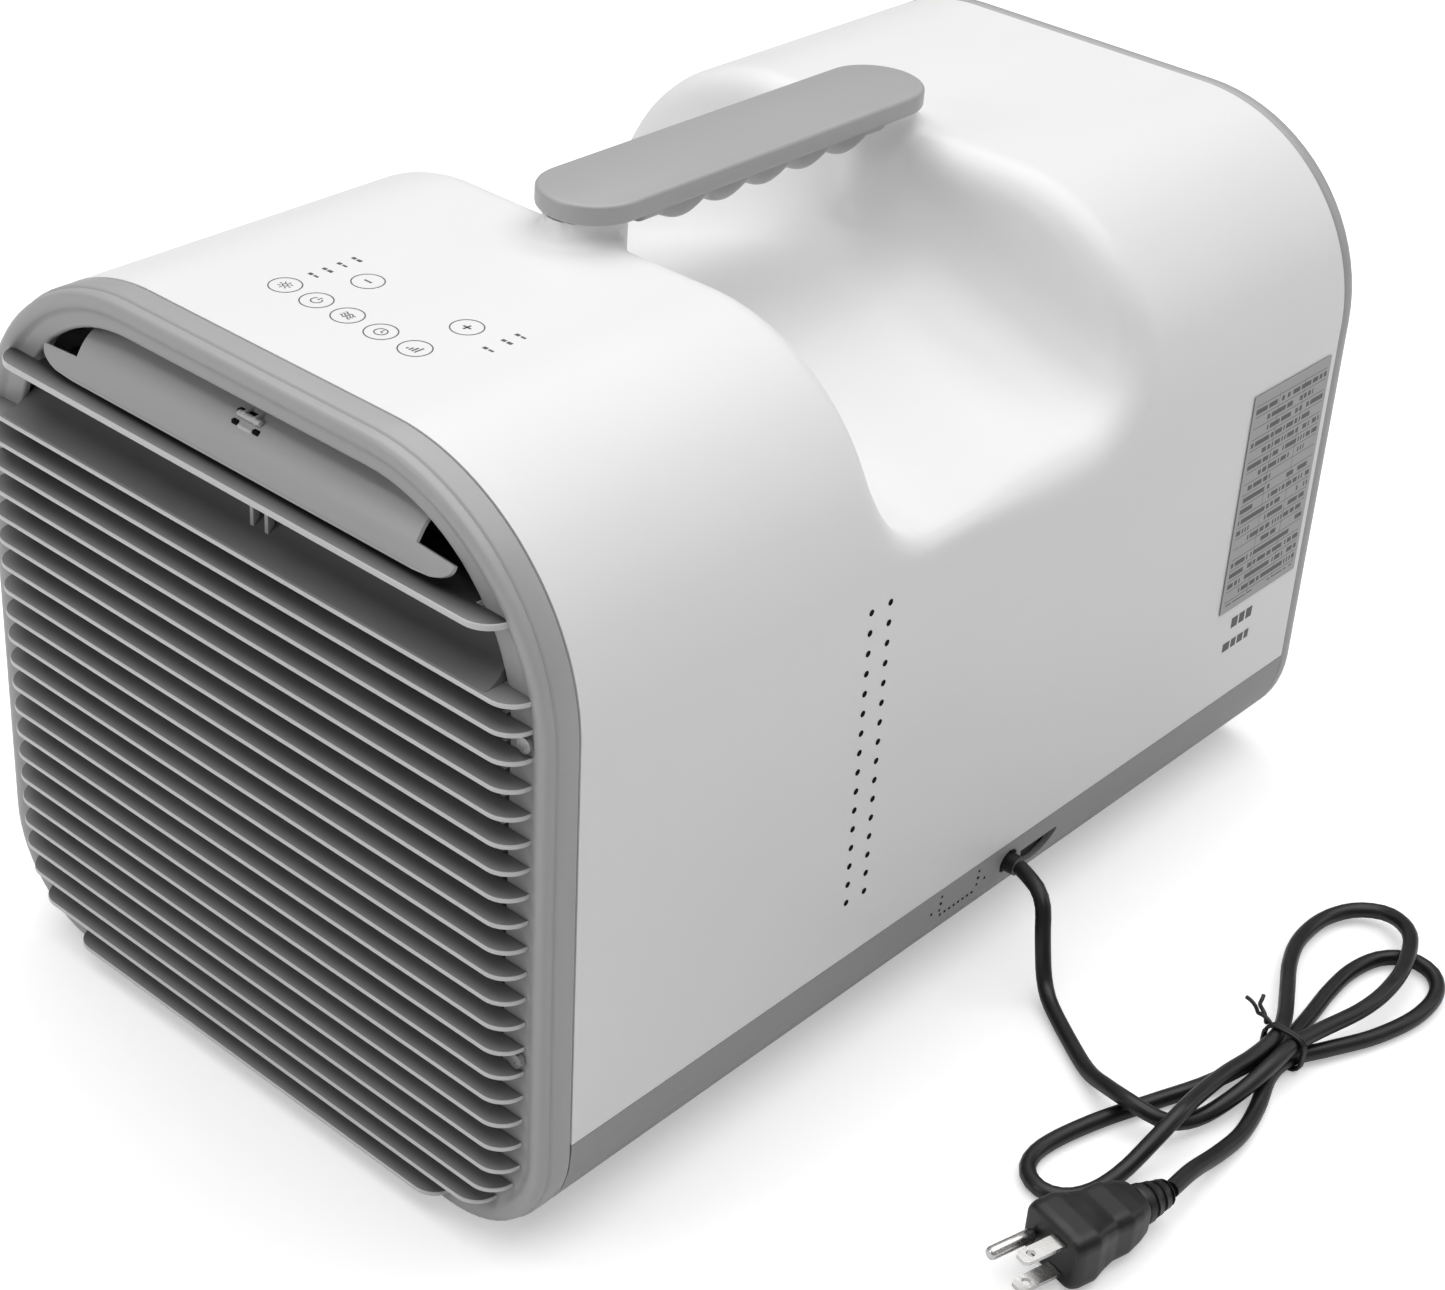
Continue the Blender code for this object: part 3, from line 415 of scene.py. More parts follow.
def fins_group() -> bpy.types.NodeTree:
    """Thin upright fins on a coil, seen as fine bright and dark lines.

    Returns:
        The finished group.
    """
    group = Group(Pattern.FINS)
    pitch = group.take("Fins per metre", "Float", 700.0)
    axes = group.axes(group.place())
    fin = group.math("PINGPONG", group.product(axes["X"], pitch), 0.5)
    row = group.math("PINGPONG", group.product(axes["Z"], TUBE_ROWS_PER_METRE), 0.5)
    line = group.band(fin, (0.10, 0.32), (0.0, 1.0))
    bright = group.product(line, group.band(row, (0.0, 0.1), (0.55, 1.0)))
    group.give("Colour", "Color", group.blend(bright, FIN_SHADE, FIN_METAL))
    group.give("Roughness", "Float", group.band(bright, (0.0, 1.0), (0.7, 0.3)))
    group.give("Height", "Float", bright)
    return group.tree


def plate_group() -> bpy.types.NodeTree:
    """A silver plate printed with a table of short dark marks that spell nothing.

    Returns:
        The finished group.
    """
    group = Group(Pattern.PLATE)
    paper = group.take("Plate", "Color", (0.5, 0.5, 0.5, 1.0))
    ink = group.take("Ink", "Color", (0.05, 0.05, 0.05, 1.0))
    bottom = group.take("Bottom", "Float", 0.0945)
    near_edge = group.take("Near edge", "Float", 0.1622)
    table = PlateTable()
    axes = group.axes(group.place())
    across = group.math("SUBTRACT", axes["Y"], near_edge)
    up = group.math("SUBTRACT", axes["Z"], bottom)
    row = group.math("DIVIDE", up, table.row)
    row_number = group.math("FLOOR", row)
    in_row = group.math("FRACT", row)
    dash = group.math("FLOOR", group.math("DIVIDE", across, table.dash))
    word = group.math("FLOOR", group.math("DIVIDE", across, table.word))
    marks = group.within(in_row, 0.30, 0.74)
    marks = group.product(marks, group.math("GREATER_THAN", group.chance(dash, row_number), 0.24))
    marks = group.product(marks, group.math("GREATER_THAN", group.chance(word, row_number), 0.22))
    rule = group.math("LESS_THAN", in_row, 0.06)
    column = group.math("FRACT", group.math("DIVIDE", across, table.column))
    rules = group.math("MAXIMUM", rule, group.math("LESS_THAN", column, 0.014))
    inside = group.product(group.within(across, *table.sides), group.within(up, *table.ends))
    mask = group.product(group.math("MAXIMUM", rules, marks), inside)
    speckle = group.noise(group.place(), 700.0, 3.0)
    group.give("Colour", "Color", group.blend(mask, paper, ink))
    group.give("Roughness", "Float", group.band(speckle, (0.3, 0.7), (0.30, 0.42)))
    group.give("Height", "Float", group.math("ADD", group.product(mask, -0.4), speckle))
    return group.tree


def board_group() -> bpy.types.NodeTree:
    """Solder mask with a grid of copper-toned tracks under it.

    Returns:
        The finished group.
    """
    group = Group(Pattern.BOARD)
    colour = group.take("Mask", "Color", (0.02, 0.16, 0.06, 1.0))
    cells = group.add("TexVoronoi", feature="DISTANCE_TO_EDGE")
    group.feed(cells, "Vector", group.place())
    cells.inputs["Scale"].default_value = 260.0
    track = group.band(cells.outputs["Distance"], (0.05, 0.09), (1.0, 0.0))
    group.give("Colour", "Color", group.blend(track, colour, TRACK_GREEN))
    group.give("Roughness", "Float", group.band(track, (0.0, 1.0), (0.32, 0.48)))
    group.give("Height", "Float", track)
    return group.tree


def weave_group() -> bpy.types.NodeTree:
    """Fine square filter gauze.

    Returns:
        The finished group.
    """
    group = Group(Pattern.WEAVE)
    colour = group.take("Thread", "Color", (0.10, 0.11, 0.12, 1.0))
    axes = group.axes(group.place())
    across = group.math("PINGPONG", group.product(axes["X"], THREADS_PER_METRE), 0.5)
    upward = group.math("PINGPONG", group.product(axes["Z"], THREADS_PER_METRE), 0.5)
    thread = group.band(group.math("MAXIMUM", across, upward), (0.28, 0.42), (0.0, 1.0))
    group.give("Colour", "Color", group.blend(thread, GAUZE_SHADE, colour))
    group.give("Roughness", "Float", group.band(thread, (0.0, 1.0), (0.9, 0.6)))
    group.give("Height", "Float", thread)
    return group.tree


# ------------------------------------------------------------------------------- finishes


@dataclass(frozen=True)
class Finish:
    """One surface finish, made from a shared node group and the constants it is given."""

    name: str
    pattern: Pattern
    inputs: Inputs = ()
    bump: float = 0.05
    reach: float = 0.0001
    metallic: float = 0.0
    coat: float = 0.0
    specular: float = 0.5

    def build(self) -> bpy.types.Material:
        """Make the material.

        Returns:
            The new material.
        """
        made = bpy.data.materials.new(self.name)
        made.use_nodes = True
        tree = made.node_tree
        shader = tree.nodes["Principled BSDF"]
        pattern = tree.nodes.new("ShaderNodeGroup")
        pattern.node_tree = bpy.data.node_groups[self.pattern.value]
        for key, value in self.inputs:
            pattern.inputs[key].default_value = value
        tree.links.new(pattern.outputs["Colour"], shader.inputs["Base Color"])
        tree.links.new(pattern.outputs["Roughness"], shader.inputs["Roughness"])
        bump = tree.nodes.new("ShaderNodeBump")
        bump.inputs["Strength"].default_value = self.bump
        bump.inputs["Distance"].default_value = self.reach
        tree.links.new(pattern.outputs["Height"], bump.inputs["Height"])
        tree.links.new(bump.outputs["Normal"], shader.inputs["Normal"])
        shader.inputs["Metallic"].default_value = self.metallic
        shader.inputs["Coat Weight"].default_value = self.coat
        shader.inputs["Coat Roughness"].default_value = 0.2
        shader.inputs["Specular IOR Level"].default_value = self.specular
        return made


def tone(value: float, warmth: float = 0.0) -> Colour:
    """A near-neutral colour."""
    return (value + warmth, value, value - warmth, 1.0)


def plastic(colour: Colour, roughness: float, tint: float) -> Inputs:
    """Inputs of the moulded pattern."""
    return (("Colour", colour), ("Roughness", roughness), ("Tint", tint))


def slotted(front: Colour, shade_colour: Colour, roughness: float) -> Inputs:
    """Inputs of the slot pattern; its second colour is the painted shade at the back of the slot."""
    return (("Front Colour", front), ("Painted Shade Colour", shade_colour), ("Roughness", roughness))


def soft(colour: Colour, roughness: float, bloom: float) -> Inputs:
    """Inputs of the soft pattern."""
    return (("Colour", colour), ("Roughness", roughness), ("Bloom", bloom))


def metal(colour: Colour, roughness: float, stretch: Point3) -> Inputs:
    """Inputs of the metal pattern."""
    return (("Colour", colour), ("Roughness", roughness), ("Stretch", stretch))


# The lip's near-black back colour is painted shade, where the vane and the frame above shade its top face.
LIP_INPUTS: Inputs = (*slotted(tone(0.24), tone(0.03), 0.44), ("Depth", 0.0075))
PLATE_INPUTS: Inputs = (("Plate", tone(0.36)), ("Ink", tone(0.06)))
FLOOR_INPUTS: Inputs = (*plastic(tone(0.86), 0.6, 0.01), ("Grain Scale", 300.0))
COPPER_RED: Colour = (0.72, 0.34, 0.20, 1.0)

FINISHES = (
    Finish("white_shell", Pattern.MOULDED, plastic(tone(0.83), 0.42, 0.02), coat=0.06),
    Finish("light_grey", Pattern.MOULDED, plastic(tone(0.40), 0.36, 0.05), bump=0.06, coat=0.1),
    # blade_grey, lip_grey and shelf_grey are painted shade: darker copies of the grey plastic, darker still
    # towards the back of each slot.
    Finish("blade_grey", Pattern.SLOT, slotted(tone(0.27), tone(0.12), 0.44), bump=0.09),
    # Painted highlight: a lighter copy of the grey plastic for the rims of the blades, the lip and the
    # vane.
    Finish("rim_painted_highlight", Pattern.MOULDED, plastic(tone(0.62), 0.32, 0.06), coat=0.3),
    Finish("lip_grey", Pattern.SLOT, LIP_INPUTS, bump=0.09),
    Finish("shelf_grey", Pattern.SLOT, slotted(tone(0.21), tone(0.08), 0.42), bump=0.09),
    Finish("clip_grey", Pattern.MOULDED, plastic(tone(0.55), 0.34, 0.06)),
    Finish("base_grey", Pattern.MOULDED, plastic(tone(0.33), 0.5, 0.08), bump=0.12),
    Finish("dark_plastic", Pattern.MOULDED, plastic(tone(0.022), 0.55, 0.2), bump=0.12),
    Finish("ink_grey", Pattern.MOULDED, plastic(tone(0.10), 0.5, 0.1)),
    Finish("black_pvc", Pattern.SOFT, soft(tone(0.006), 0.34, 0.05), bump=0.08),
    Finish("black_rubber", Pattern.SOFT, soft(tone(0.014), 0.75, 0.35), bump=0.15),
    # Near-black for holes, slots and dimples: painted shade of the dark inside them.
    Finish("hole_painted_shade", Pattern.SOFT, soft(tone(0.006), 0.9, 0.05), specular=0.1),
    Finish("nickel", Pattern.METAL, metal(tone(0.66, 0.012), 0.24, (0.06, 1.0, 1.0)), 0.06, metallic=1.0),
    Finish("zinc_steel", Pattern.METAL, metal(tone(0.58), 0.32, (1.0, 0.05, 1.0)), 0.08, metallic=1.0),
    Finish("copper", Pattern.METAL, metal(COPPER_RED, 0.28, (1.0, 0.1, 1.0)), 0.06, metallic=1.0),
    Finish("bare_aluminium", Pattern.METAL, metal(tone(0.70), 0.35, (1.0, 1.0, 0.05)), 0.06, metallic=1.0),
    Finish("coil_fins", Pattern.FINS, bump=0.5, reach=0.0004, metallic=0.6),
    Finish("black_enamel", Pattern.MOULDED, plastic(tone(0.012), 0.34, 0.2), 0.12, 0.0002, coat=0.3),
    Finish("circuit_board", Pattern.BOARD, bump=0.2),
    Finish("rating_plate", Pattern.PLATE, PLATE_INPUTS, reach=0.00005, metallic=0.15),
    Finish("filter_mesh", Pattern.WEAVE, bump=0.4, reach=0.0002),
    Finish("studio_floor", Pattern.MOULDED, FLOOR_INPUTS, bump=0.02),
)


class Palette:
    """All the finishes, built once and fetched by name."""

    def __init__(self) -> None:
        """Build the node groups, then one material for each finish."""
        for make in (
            moulded_group, slot_group, metal_group, soft_group, fins_group, plate_group, board_group,
            weave_group,
        ):
            make()
        self.made = {finish.name: finish.build() for finish in FINISHES}

    def __getitem__(self, name: str) -> bpy.types.Material:
        """The material of that name."""
        return self.made[name]


# ------------------------------------------------------------------------- mesh builders


class Workshop:
    """Turns meshes into finished pieces that ride on a body and stand for CAD nodes."""

    def __init__(self, palette: Palette, nodes: dict[str, bpy.types.Object]) -> None:
        """Remember the finishes, and the CAD nodes by name."""
        self.palette = palette
        self.nodes = nodes

    def piece(
        self, name: str, bm: BMesh, finish: str, body: str = HOUSING,
        stands_for: Sequence[str] = (), angle: float = 35.0,
    ) -> bpy.types.Object:
        """Make a finished piece from a bmesh, which is freed.

        Args:
            name: The piece's name.
            bm: Its geometry, in the object's frame.
            finish: The name of its finish.
            body: The body it moves with.
            stands_for: CAD nodes that it replaces.
            angle: Edges sharper than this, in degrees, stay sharp.

        Returns:
            The new object.
        """
        bmesh.ops.recalc_face_normals(bm, faces=bm.faces)
        data = bpy.data.meshes.new(name)
        bm.to_mesh(data)
        bm.free()
        data.shade_smooth()
        data.set_sharp_from_angle(angle=math.radians(angle))
        data.materials.append(self.palette[finish])
        made = bpy.data.objects.new(name, data)
        bpy.context.scene.collection.objects.link(made)
        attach(made, body)
        if stands_for:
            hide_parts(*stands_for)
        LOG.info("%s: %d faces, %s", name, len(data.polygons), finish)
        return made

    def paint_rim_highlight(
        self, made: bpy.types.Object, finish: str, flatness: float, level: bool = True,
    ) -> None:
        """Paint a lighter finish on the narrow faces round a flat piece, as a painted highlight on its
        rims.

        Args:
            made: The piece.
            finish: The lighter finish of its rims, the painted highlight.
            flatness: On a level piece, faces whose normal points up or down by at least this
                keep the first finish. On another, the height of the lowest rim.
            level: Whether the piece lies level; if not, only its lowest rim is changed.
        """
        made.data.materials.append(self.palette[finish])
        lowest = min(v.co.z for v in made.data.vertices)
        for face in made.data.polygons:
            narrow = abs(face.normal.z) < flatness if level else face.center.z < lowest + flatness
            if narrow:
                face.material_index = 1

    def dress(self, node: str, finish: str) -> None:
        """Give a CAD node a better finish.

        Args:
            node: The node's name.
            finish: The finish's name.
        """
        made = self.nodes[node]
        if not made.material_slots:
            made.data.materials.append(self.palette[finish])
        for slot in made.material_slots:
            slot.material = self.palette[finish]
        LOG.info("%s keeps its CAD shape, %s", node, finish)


def arc(centre: Point2, radius: float, start: float, end: float, count: int) -> list[Point2]:
    """Points along an arc, with angles in degrees."""
    angles = [math.radians(start + (end - start) * i / count) for i in range(count + 1)]
    return [(centre[0] + radius * math.cos(a), centre[1] + radius * math.sin(a)) for a in angles]


@dataclass(frozen=True)
class Section:
    """A rounded upright section of the housing, wider at its base."""

    half_width: float = 0.135
    bottom: float = 0.003
    top: float = 0.282
    low_radius: float = 0.044
    top_radius: float = 0.078
    draft: float = 0.02
    count: int = 14

    def outline(self, inset: float = 0.0) -> list[Point2]:
        """Points (x, z) counter-clockwise from the lower right, moved in by an inset.

        Args:
            inset: How far the outline is moved in.

        Returns:
            The outline, starting at the lower right.
        """
        half, low, high = self.half_width - inset, self.bottom + inset, self.top - inset
        low_r, top_r = self.low_radius - inset, self.top_radius - inset
        right = arc((half - low_r, low + low_r), low_r, -90, 0, self.count)
        right += arc((half - top_r, high - top_r), top_r, 0, 90, self.count + 6)
        right = [(x + self.draft * (high - z), z) for x, z in right]
        return right + [(-x, z) for x, z in reversed(right)]

    def loop(self, inset: float, y: float) -> list[Vector]:
        """The outline as points at a place along Y."""
        return [Vector((x, y, z)) for x, z in self.outline(inset)]

    def half_width_at(self, height: float) -> float:
        """Half the width of the outline at a height.

        Args:
            height: The height.

        Returns:
            The half width there, or the one at the top above the section.
        """
        points = self.outline()
        points = points[: len(points) // 2]
        for (ax, az), (bx, bz) in zip(points, points[1:]):
            if az <= height <= bz and bz > az:
                return ax + (bx - ax) * (height - az) / (bz - az)
        return points[-1][0]


BODY = Section()
OPENING = Section(0.118, 0.0095, 0.2688, 0.036, 0.062, 0.0)


def ring_mesh(loops: Sequence[Sequence[Vector]], ends: Ends) -> BMesh:
    """Join closed loops into a skin with bridges.

    Args:
        loops: Loops of points, each with as many points as the next.
        ends: CLOSED joins the last loop to the first, CAPPED closes both ends with faces.

    Returns:
        The new bmesh.
    """
    bm = bmesh.new()
    rings = []
    for loop in loops:
        verts = [bm.verts.new(p) for p in loop]
        rings.append([bm.edges.new((verts[i - 1], verts[i])) for i in range(len(verts))])
    pairs = list(zip(rings, rings[1:]))
    if ends is Ends.CLOSED:
        pairs.append((rings[-1], rings[0]))
    for first, second in pairs:
        bmesh.ops.bridge_loops(bm, edges=first + second)
    if ends is Ends.CAPPED:
        bmesh.ops.edgeloop_fill(bm, edges=rings[0])
        bmesh.ops.edgeloop_fill(bm, edges=rings[-1])
    return bm


def thicken(bm: BMesh, rise: Vector) -> None:
    """Extrude all the faces of a flat bmesh and move the new ones.

    Args:
        bm: The flat bmesh.
        rise: How far the new faces move.
    """
    grown = bmesh.ops.extrude_face_region(bm, geom=bm.faces[:])
    moved = [v for v in grown["geom"] if isinstance(v, bmesh.types.BMVert)]
    bmesh.ops.translate(bm, vec=rise, verts=moved)


def round_edges(bm: BMesh, edges: Sequence[bmesh.types.BMEdge], radius: float, segments: int) -> None:
    """Bevel edges to a radius.

    Args:
        bm: The bmesh to work on.
        edges: The edges to bevel.
        radius: The radius.
        segments: Segments in the rounding.
    """
    bmesh.ops.bevel(
        bm, geom=edges, offset=radius, offset_type="OFFSET", segments=segments,
        profile=0.5, affect="EDGES", clamp_overlap=True, material=-1,
    )


def rims(bm: BMesh, along: Vector) -> list[bmesh.types.BMEdge]:
    """Find the edges that are square to a direction.

    Args:
        bm: The bmesh to look in.
        along: The direction.

    Returns:
        Its edges that lie within a few degrees of square to the direction.
    """
    found = []
    for edge in bm.edges:
        run = (edge.verts[1].co - edge.verts[0].co).normalized()
        if abs(run.dot(along)) < 0.1:
            found.append(edge)
    return found


def plate_mesh(outline: Sequence[Vector], rise: Vector, rounding: float, segments: int = 3) -> BMesh:
    """A plate extruded from an outline, with both rims rounded.

    Args:
        outline: The plate's closed outline.
        rise: The extrusion.
        rounding: Radius of the rims.
        segments: Segments in each rounding.

    Returns:
        The new bmesh.
    """
    bm = bmesh.new()
    bm.faces.new([bm.verts.new(p) for p in outline])
    thicken(bm, rise)
    bmesh.ops.recalc_face_normals(bm, faces=bm.faces)
    round_edges(bm, rims(bm, rise.normalized()), rounding, segments)
    return bm


def merge(parts: Sequence[BMesh]) -> BMesh:
    """Put several bmeshes into the first one.

    Args:
        parts: The bmeshes; all but the first are freed.

    Returns:
        The first bmesh.
    """
    whole = parts[0]
    for part in parts[1:]:
        data = bpy.data.meshes.new("joining")
        part.to_mesh(data)
        part.free()
        whole.from_mesh(data)
        bpy.data.meshes.remove(data)
    return whole


def cuboid(low: Point3, high: Point3, rounding: float = 0.0, segments: int = 2) -> BMesh:
    """A box between two corners.

    Args:
        low: The corner with the least X, Y and Z.
        high: The opposite corner.
        rounding: Radius of the edges; 0 leaves them square.
        segments: Segments in each rounding.

    Returns:
        The new bmesh.
    """
    bm = bmesh.new()
    size = Matrix.Diagonal((*(b - a for a, b in zip(low, high)), 1.0))
    middle = Matrix.Translation([(a + b) / 2 for a, b in zip(low, high)])
    bmesh.ops.create_cube(bm, size=1.0, matrix=middle @ size)
    if rounding:
        round_edges(bm, bm.edges[:], rounding, segments)
    return bm


def block(centre: Point3, half: Point3, rounding: float) -> BMesh:
    """A box round a centre, with its edges rounded.

    Args:
        centre: The middle of the box.
        half: Half of its size along X, Y and Z.
        rounding: Radius of its edges.

    Returns:
        The new bmesh.
    """
    low = tuple(c - h for c, h in zip(centre, half))
    high = tuple(c + h for c, h in zip(centre, half))
    return cuboid(low, high, rounding)


def rounded_rod(start: Point3, end: Point3, radius: float, rounding: float = 0.0, sides: int = 32) -> BMesh:
    """A cylinder between two points.

    Args:
        start: The middle of its first end.
        end: The middle of its other end.
        radius: Its radius.
        rounding: Radius of its rims; 0 leaves them square.
        sides: Faces round it.

    Returns:
        The new bmesh.
    """
    first, last = Vector(start), Vector(end)
    run = last - first
    turn = Vector((0, 0, 1)).rotation_difference(run).to_matrix().to_4x4()
    bm = bmesh.new()
    bmesh.ops.create_cone(
        bm, cap_ends=True, segments=sides, radius1=radius, radius2=radius, depth=run.length,
        matrix=Matrix.Translation((first + last) / 2) @ turn,
    )
    if rounding:
        round_edges(bm, rims(bm, run.normalized()), rounding, 2)
    return bm


# ---------------------------------------------------------------- blended moulded surfaces

Field = Callable[[np.ndarray, np.ndarray, np.ndarray], np.ndarray]


def rounded_max(first: np.ndarray, second: np.ndarray, radius: object) -> np.ndarray:
    """Intersection of two distance fields whose outer corner is rounded to a radius.

    Args:
        first: The first distance.
        second: The second distance.
        radius: The corner's radius, which may vary.

    Returns:
        The new distance.
    """
    a = np.maximum(first + radius, 0.0)
    b = np.maximum(second + radius, 0.0)
    return np.minimum(-radius, np.maximum(first, second)) + np.hypot(a, b)


def rounded_min(first: np.ndarray, second: np.ndarray, radius: object) -> np.ndarray:
    """Union of two distance fields whose inner corner is filled to a radius.

    Args:
        first: The first distance.
        second: The second distance.
        radius: The corner's radius.

    Returns:
        The new distance.
    """
    a = np.maximum(radius - first, 0.0)
    b = np.maximum(radius - second, 0.0)
    return np.maximum(radius, np.minimum(first, second)) - np.hypot(a, b)


def corner_distance(first: np.ndarray, second: np.ndarray, radius: float) -> np.ndarray:
    """Distance to a rounded corner, from the distances to its two faces."""
    a, b = first + radius, second + radius
    return np.minimum(np.maximum(a, b), 0.0) + np.hypot(np.maximum(a, 0.0), np.maximum(b, 0.0)) - radius


@dataclass
class MouldedSurface:
    """A smooth skin laid over a distance field on a grid of boxes.

    Attributes:
        field: Distance to the surface, negative inside the plastic.
        axes: Grid lines along X, Y and Z.
        pins: For an axis, the values that its first and last layers are pulled to.
        rounds: How many times the points are moved towards the surface.
        stride: The share of the distance that they move each time.
        step: The distance over which the field's gradient is taken.
    """

    field: Field
    axes: tuple[np.ndarray, np.ndarray, np.ndarray]
    pins: dict[int, tuple[Optional[float], Optional[float]]]
    rounds: int = 12
    stride: float = 0.9
    step: float = 1e-5

    def slope(self, points: np.ndarray) -> np.ndarray:
        """The field's gradient at points.

        Args:
            points: The points, one in each row.

        Returns:
            The gradients, one in each row.
        """
        sides = []
        for axis in range(3):
            shift = np.zeros(3)
            shift[axis] = self.step
            ahead, behind = points + shift, points - shift
            sides.append((self.field(*ahead.T) - self.field(*behind.T)) / (2 * self.step))
        return np.stack(sides, 1)

    def build(self) -> BMesh:
        """Lay a point in each box that the surface crosses, and a face across each crossed line.

        Returns:
            The new bmesh, open where the grid ends.
        """
        xs, ys, zs = self.axes
        grid = np.meshgrid(xs, ys, zs, indexing="ij")
        inside = self.field(*grid) < 0.0
        corners = np.stack([
            inside[tuple(slice(n, size - 1 + n) for n, size in zip(offset, inside.shape))]
            for offset in product((0, 1), repeat=3)
        ])
        crossed = corners.any(0) & ~corners.all(0)
        cells = np.argwhere(crossed)
        number = np.full(crossed.shape, -1)
        number[crossed] = np.arange(len(cells))
        middles = [(axis[:-1] + axis[1:]) / 2 for axis in self.axes]
        points = np.stack([middle[cells[:, n]] for n, middle in enumerate(middles)], 1)
        free = np.ones_like(points)
        for axis, (low, high) in self.pins.items():
            for value, layer in ((low, 0), (high, crossed.shape[axis] - 1)):
                if value is not None:
                    chosen = cells[:, axis] == layer
                    points[chosen, axis] = value
                    free[chosen, axis] = 0.0
        for _ in range(self.rounds):
            lean = self.slope(points) * free
            size = np.maximum((lean ** 2).sum(1), 1e-3)
            points -= lean * (self.field(*points.T) / size)[:, None] * self.stride
        bm = bmesh.new()
        verts = [bm.verts.new(p) for p in points]
        for axis in range(3):
            one, two = (axis + 1) % 3, (axis + 2) % 3
            first = np.moveaxis(inside, (axis, one, two), (0, 1, 2))
            lookup = np.moveaxis(number, (axis, one, two), (0, 1, 2))
            here = first[:-1, 1:-1, 1:-1]
            change = here != first[1:, 1:-1, 1:-1]
            for i, j, k in np.argwhere(change):
                square = ((j, k), (j + 1, k), (j + 1, k + 1), (j, k + 1))
                around = [verts[lookup[i, b, c]] for b, c in square]
                if not here[i, j, k]:
                    around.reverse()
                bm.faces.new(around)
        loose = [v for v in bm.verts if not v.link_faces]
        bmesh.ops.delete(bm, geom=loose, context="VERTS")
        return bm


def spaced(stops: Sequence[tuple[float, float]], start: float) -> np.ndarray:
    """Grid lines from a start, with (end, step) for each stretch.

    Args:
        stops: The end and the step of each stretch.
        start: The first grid line.

    Returns:
        The grid lines.
    """
    lines = [start]
    for end, step in stops:
        count = max(1, round((end - lines[-1]) / step))
        lines += list(np.linspace(lines[-1], end, count + 1)[1:])
    return np.array(lines)


# ---------------------------------------------------------------------------- the studio


@dataclass(frozen=True)
class SoftLight:
    """A square soft light, aimed at a point."""

    name: str
    place: Point3
    target: Point3
    size: float
    power: float

    def build(self) -> None:
        """Hang the light."""
        data = bpy.data.lights.new(self.name, "AREA")
        data.size = self.size
        data.energy = self.power
        lamp = bpy.data.objects.new(self.name, data)
        lamp.location = self.place
        aim = Vector(self.target) - Vector(self.place)
        lamp.rotation_euler = aim.to_track_quat("-Z", "Y").to_euler()
        bpy.context.scene.collection.objects.link(lamp)


@dataclass(frozen=True)
class Studio:
    """Camera, lights, floor and surroundings."""

    camera_place: Point3 = (0.5825, -0.6913, 0.6540)
    camera_turn: Point3 = (57.813, -3.581, 41.660)
    lens: float = 67.5
    sensor: float = 36.0
    floor_size: float = 30.0
    floor_drop: float = 0.0001
    floor_glow: float = 0.38
    surroundings_light: float = 0.22
    surroundings_seen: float = 1.0
    lights: tuple[SoftLight, ...] = (
        SoftLight("overhead_softbox", (-0.3, 0.4, 3.0), (-0.3, 0.4, 0.0), 4.4, 121.0),
        SoftLight("front_softbox", (-0.9, -2.0, 1.1), (0.0, 0.0, 0.12), 1.0, 9.0),
        SoftLight("rear_softbox", (1.6, 1.8, 1.2), (0.0, 0.0, 0.2), 1.2, 5.0),
    )

    def build(self, palette: Palette) -> None:
        """Set up everything that isn't the object.

        Args:
            palette: The finishes.
        """
        self.camera()
        self.floor(palette)
        for light in self.lights:
            light.build()
        self.surroundings()
        bpy.context.scene.view_settings.view_transform = "Standard"

    def camera(self) -> None:
        """Place the camera and make it the scene's."""
        data = bpy.data.cameras.new("studio_camera")
        data.lens = self.lens
        data.sensor_width = self.sensor
        data.sensor_fit = "HORIZONTAL"
        data.clip_start = 0.01
        camera = bpy.data.objects.new("studio_camera", data)
        camera.location = self.camera_place
        camera.rotation_euler = [math.radians(a) for a in self.camera_turn]
        bpy.context.scene.collection.objects.link(camera)
        bpy.context.scene.camera = camera

    def surroundings(self) -> None:
        """Light the scene evenly and faintly, from surroundings that look white."""
        world = bpy.data.worlds.new("studio_surroundings")
        world.use_nodes = True
        tree = world.node_tree
        sky = tree.nodes["Background"]
        sky.inputs["Color"].default_value = tone(1.0)
        seen = tree.nodes.new("ShaderNodeLightPath")
        strength = tree.nodes.new("ShaderNodeMapRange")
        strength.inputs["To Min"].default_value = self.surroundings_light
        strength.inputs["To Max"].default_value = self.surroundings_seen
        tree.links.new(seen.outputs["Is Camera Ray"], strength.inputs["Value"])
        tree.links.new(strength.outputs["Result"], sky.inputs["Strength"])
        bpy.context.scene.world = world

    def floor(self, palette: Palette) -> None:
        """Lay the pale floor that the object stands on.

        Args:
            palette: The finishes.
        """
        bm = bmesh.new()
        bmesh.ops.create_grid(bm, x_segments=1, y_segments=1, size=self.floor_size / 2)
        bmesh.ops.translate(bm, vec=(0, 0, -self.floor_drop), verts=bm.verts)
        mesh = bpy.data.meshes.new("studio_floor")
        bm.to_mesh(mesh)
        bm.free()
        mesh.materials.append(palette["studio_floor"])
        tree = palette["studio_floor"].node_tree
        shader = tree.nodes["Principled BSDF"]
        shader.inputs["Emission Color"].default_value = tone(1.0)
        seen = tree.nodes.new("ShaderNodeLightPath")
        glow = tree.nodes.new("ShaderNodeMath")
        glow.operation = "MULTIPLY"
        glow.inputs[1].default_value = self.floor_glow
        tree.links.new(seen.outputs["Is Camera Ray"], glow.inputs[0])
        tree.links.new(glow.outputs[0], shader.inputs["Emission Strength"])
        floor = bpy.data.objects.new("studio_floor", mesh)
        bpy.context.scene.collection.objects.link(floor)


# ------------------------------------------------------------------------ cord and plug

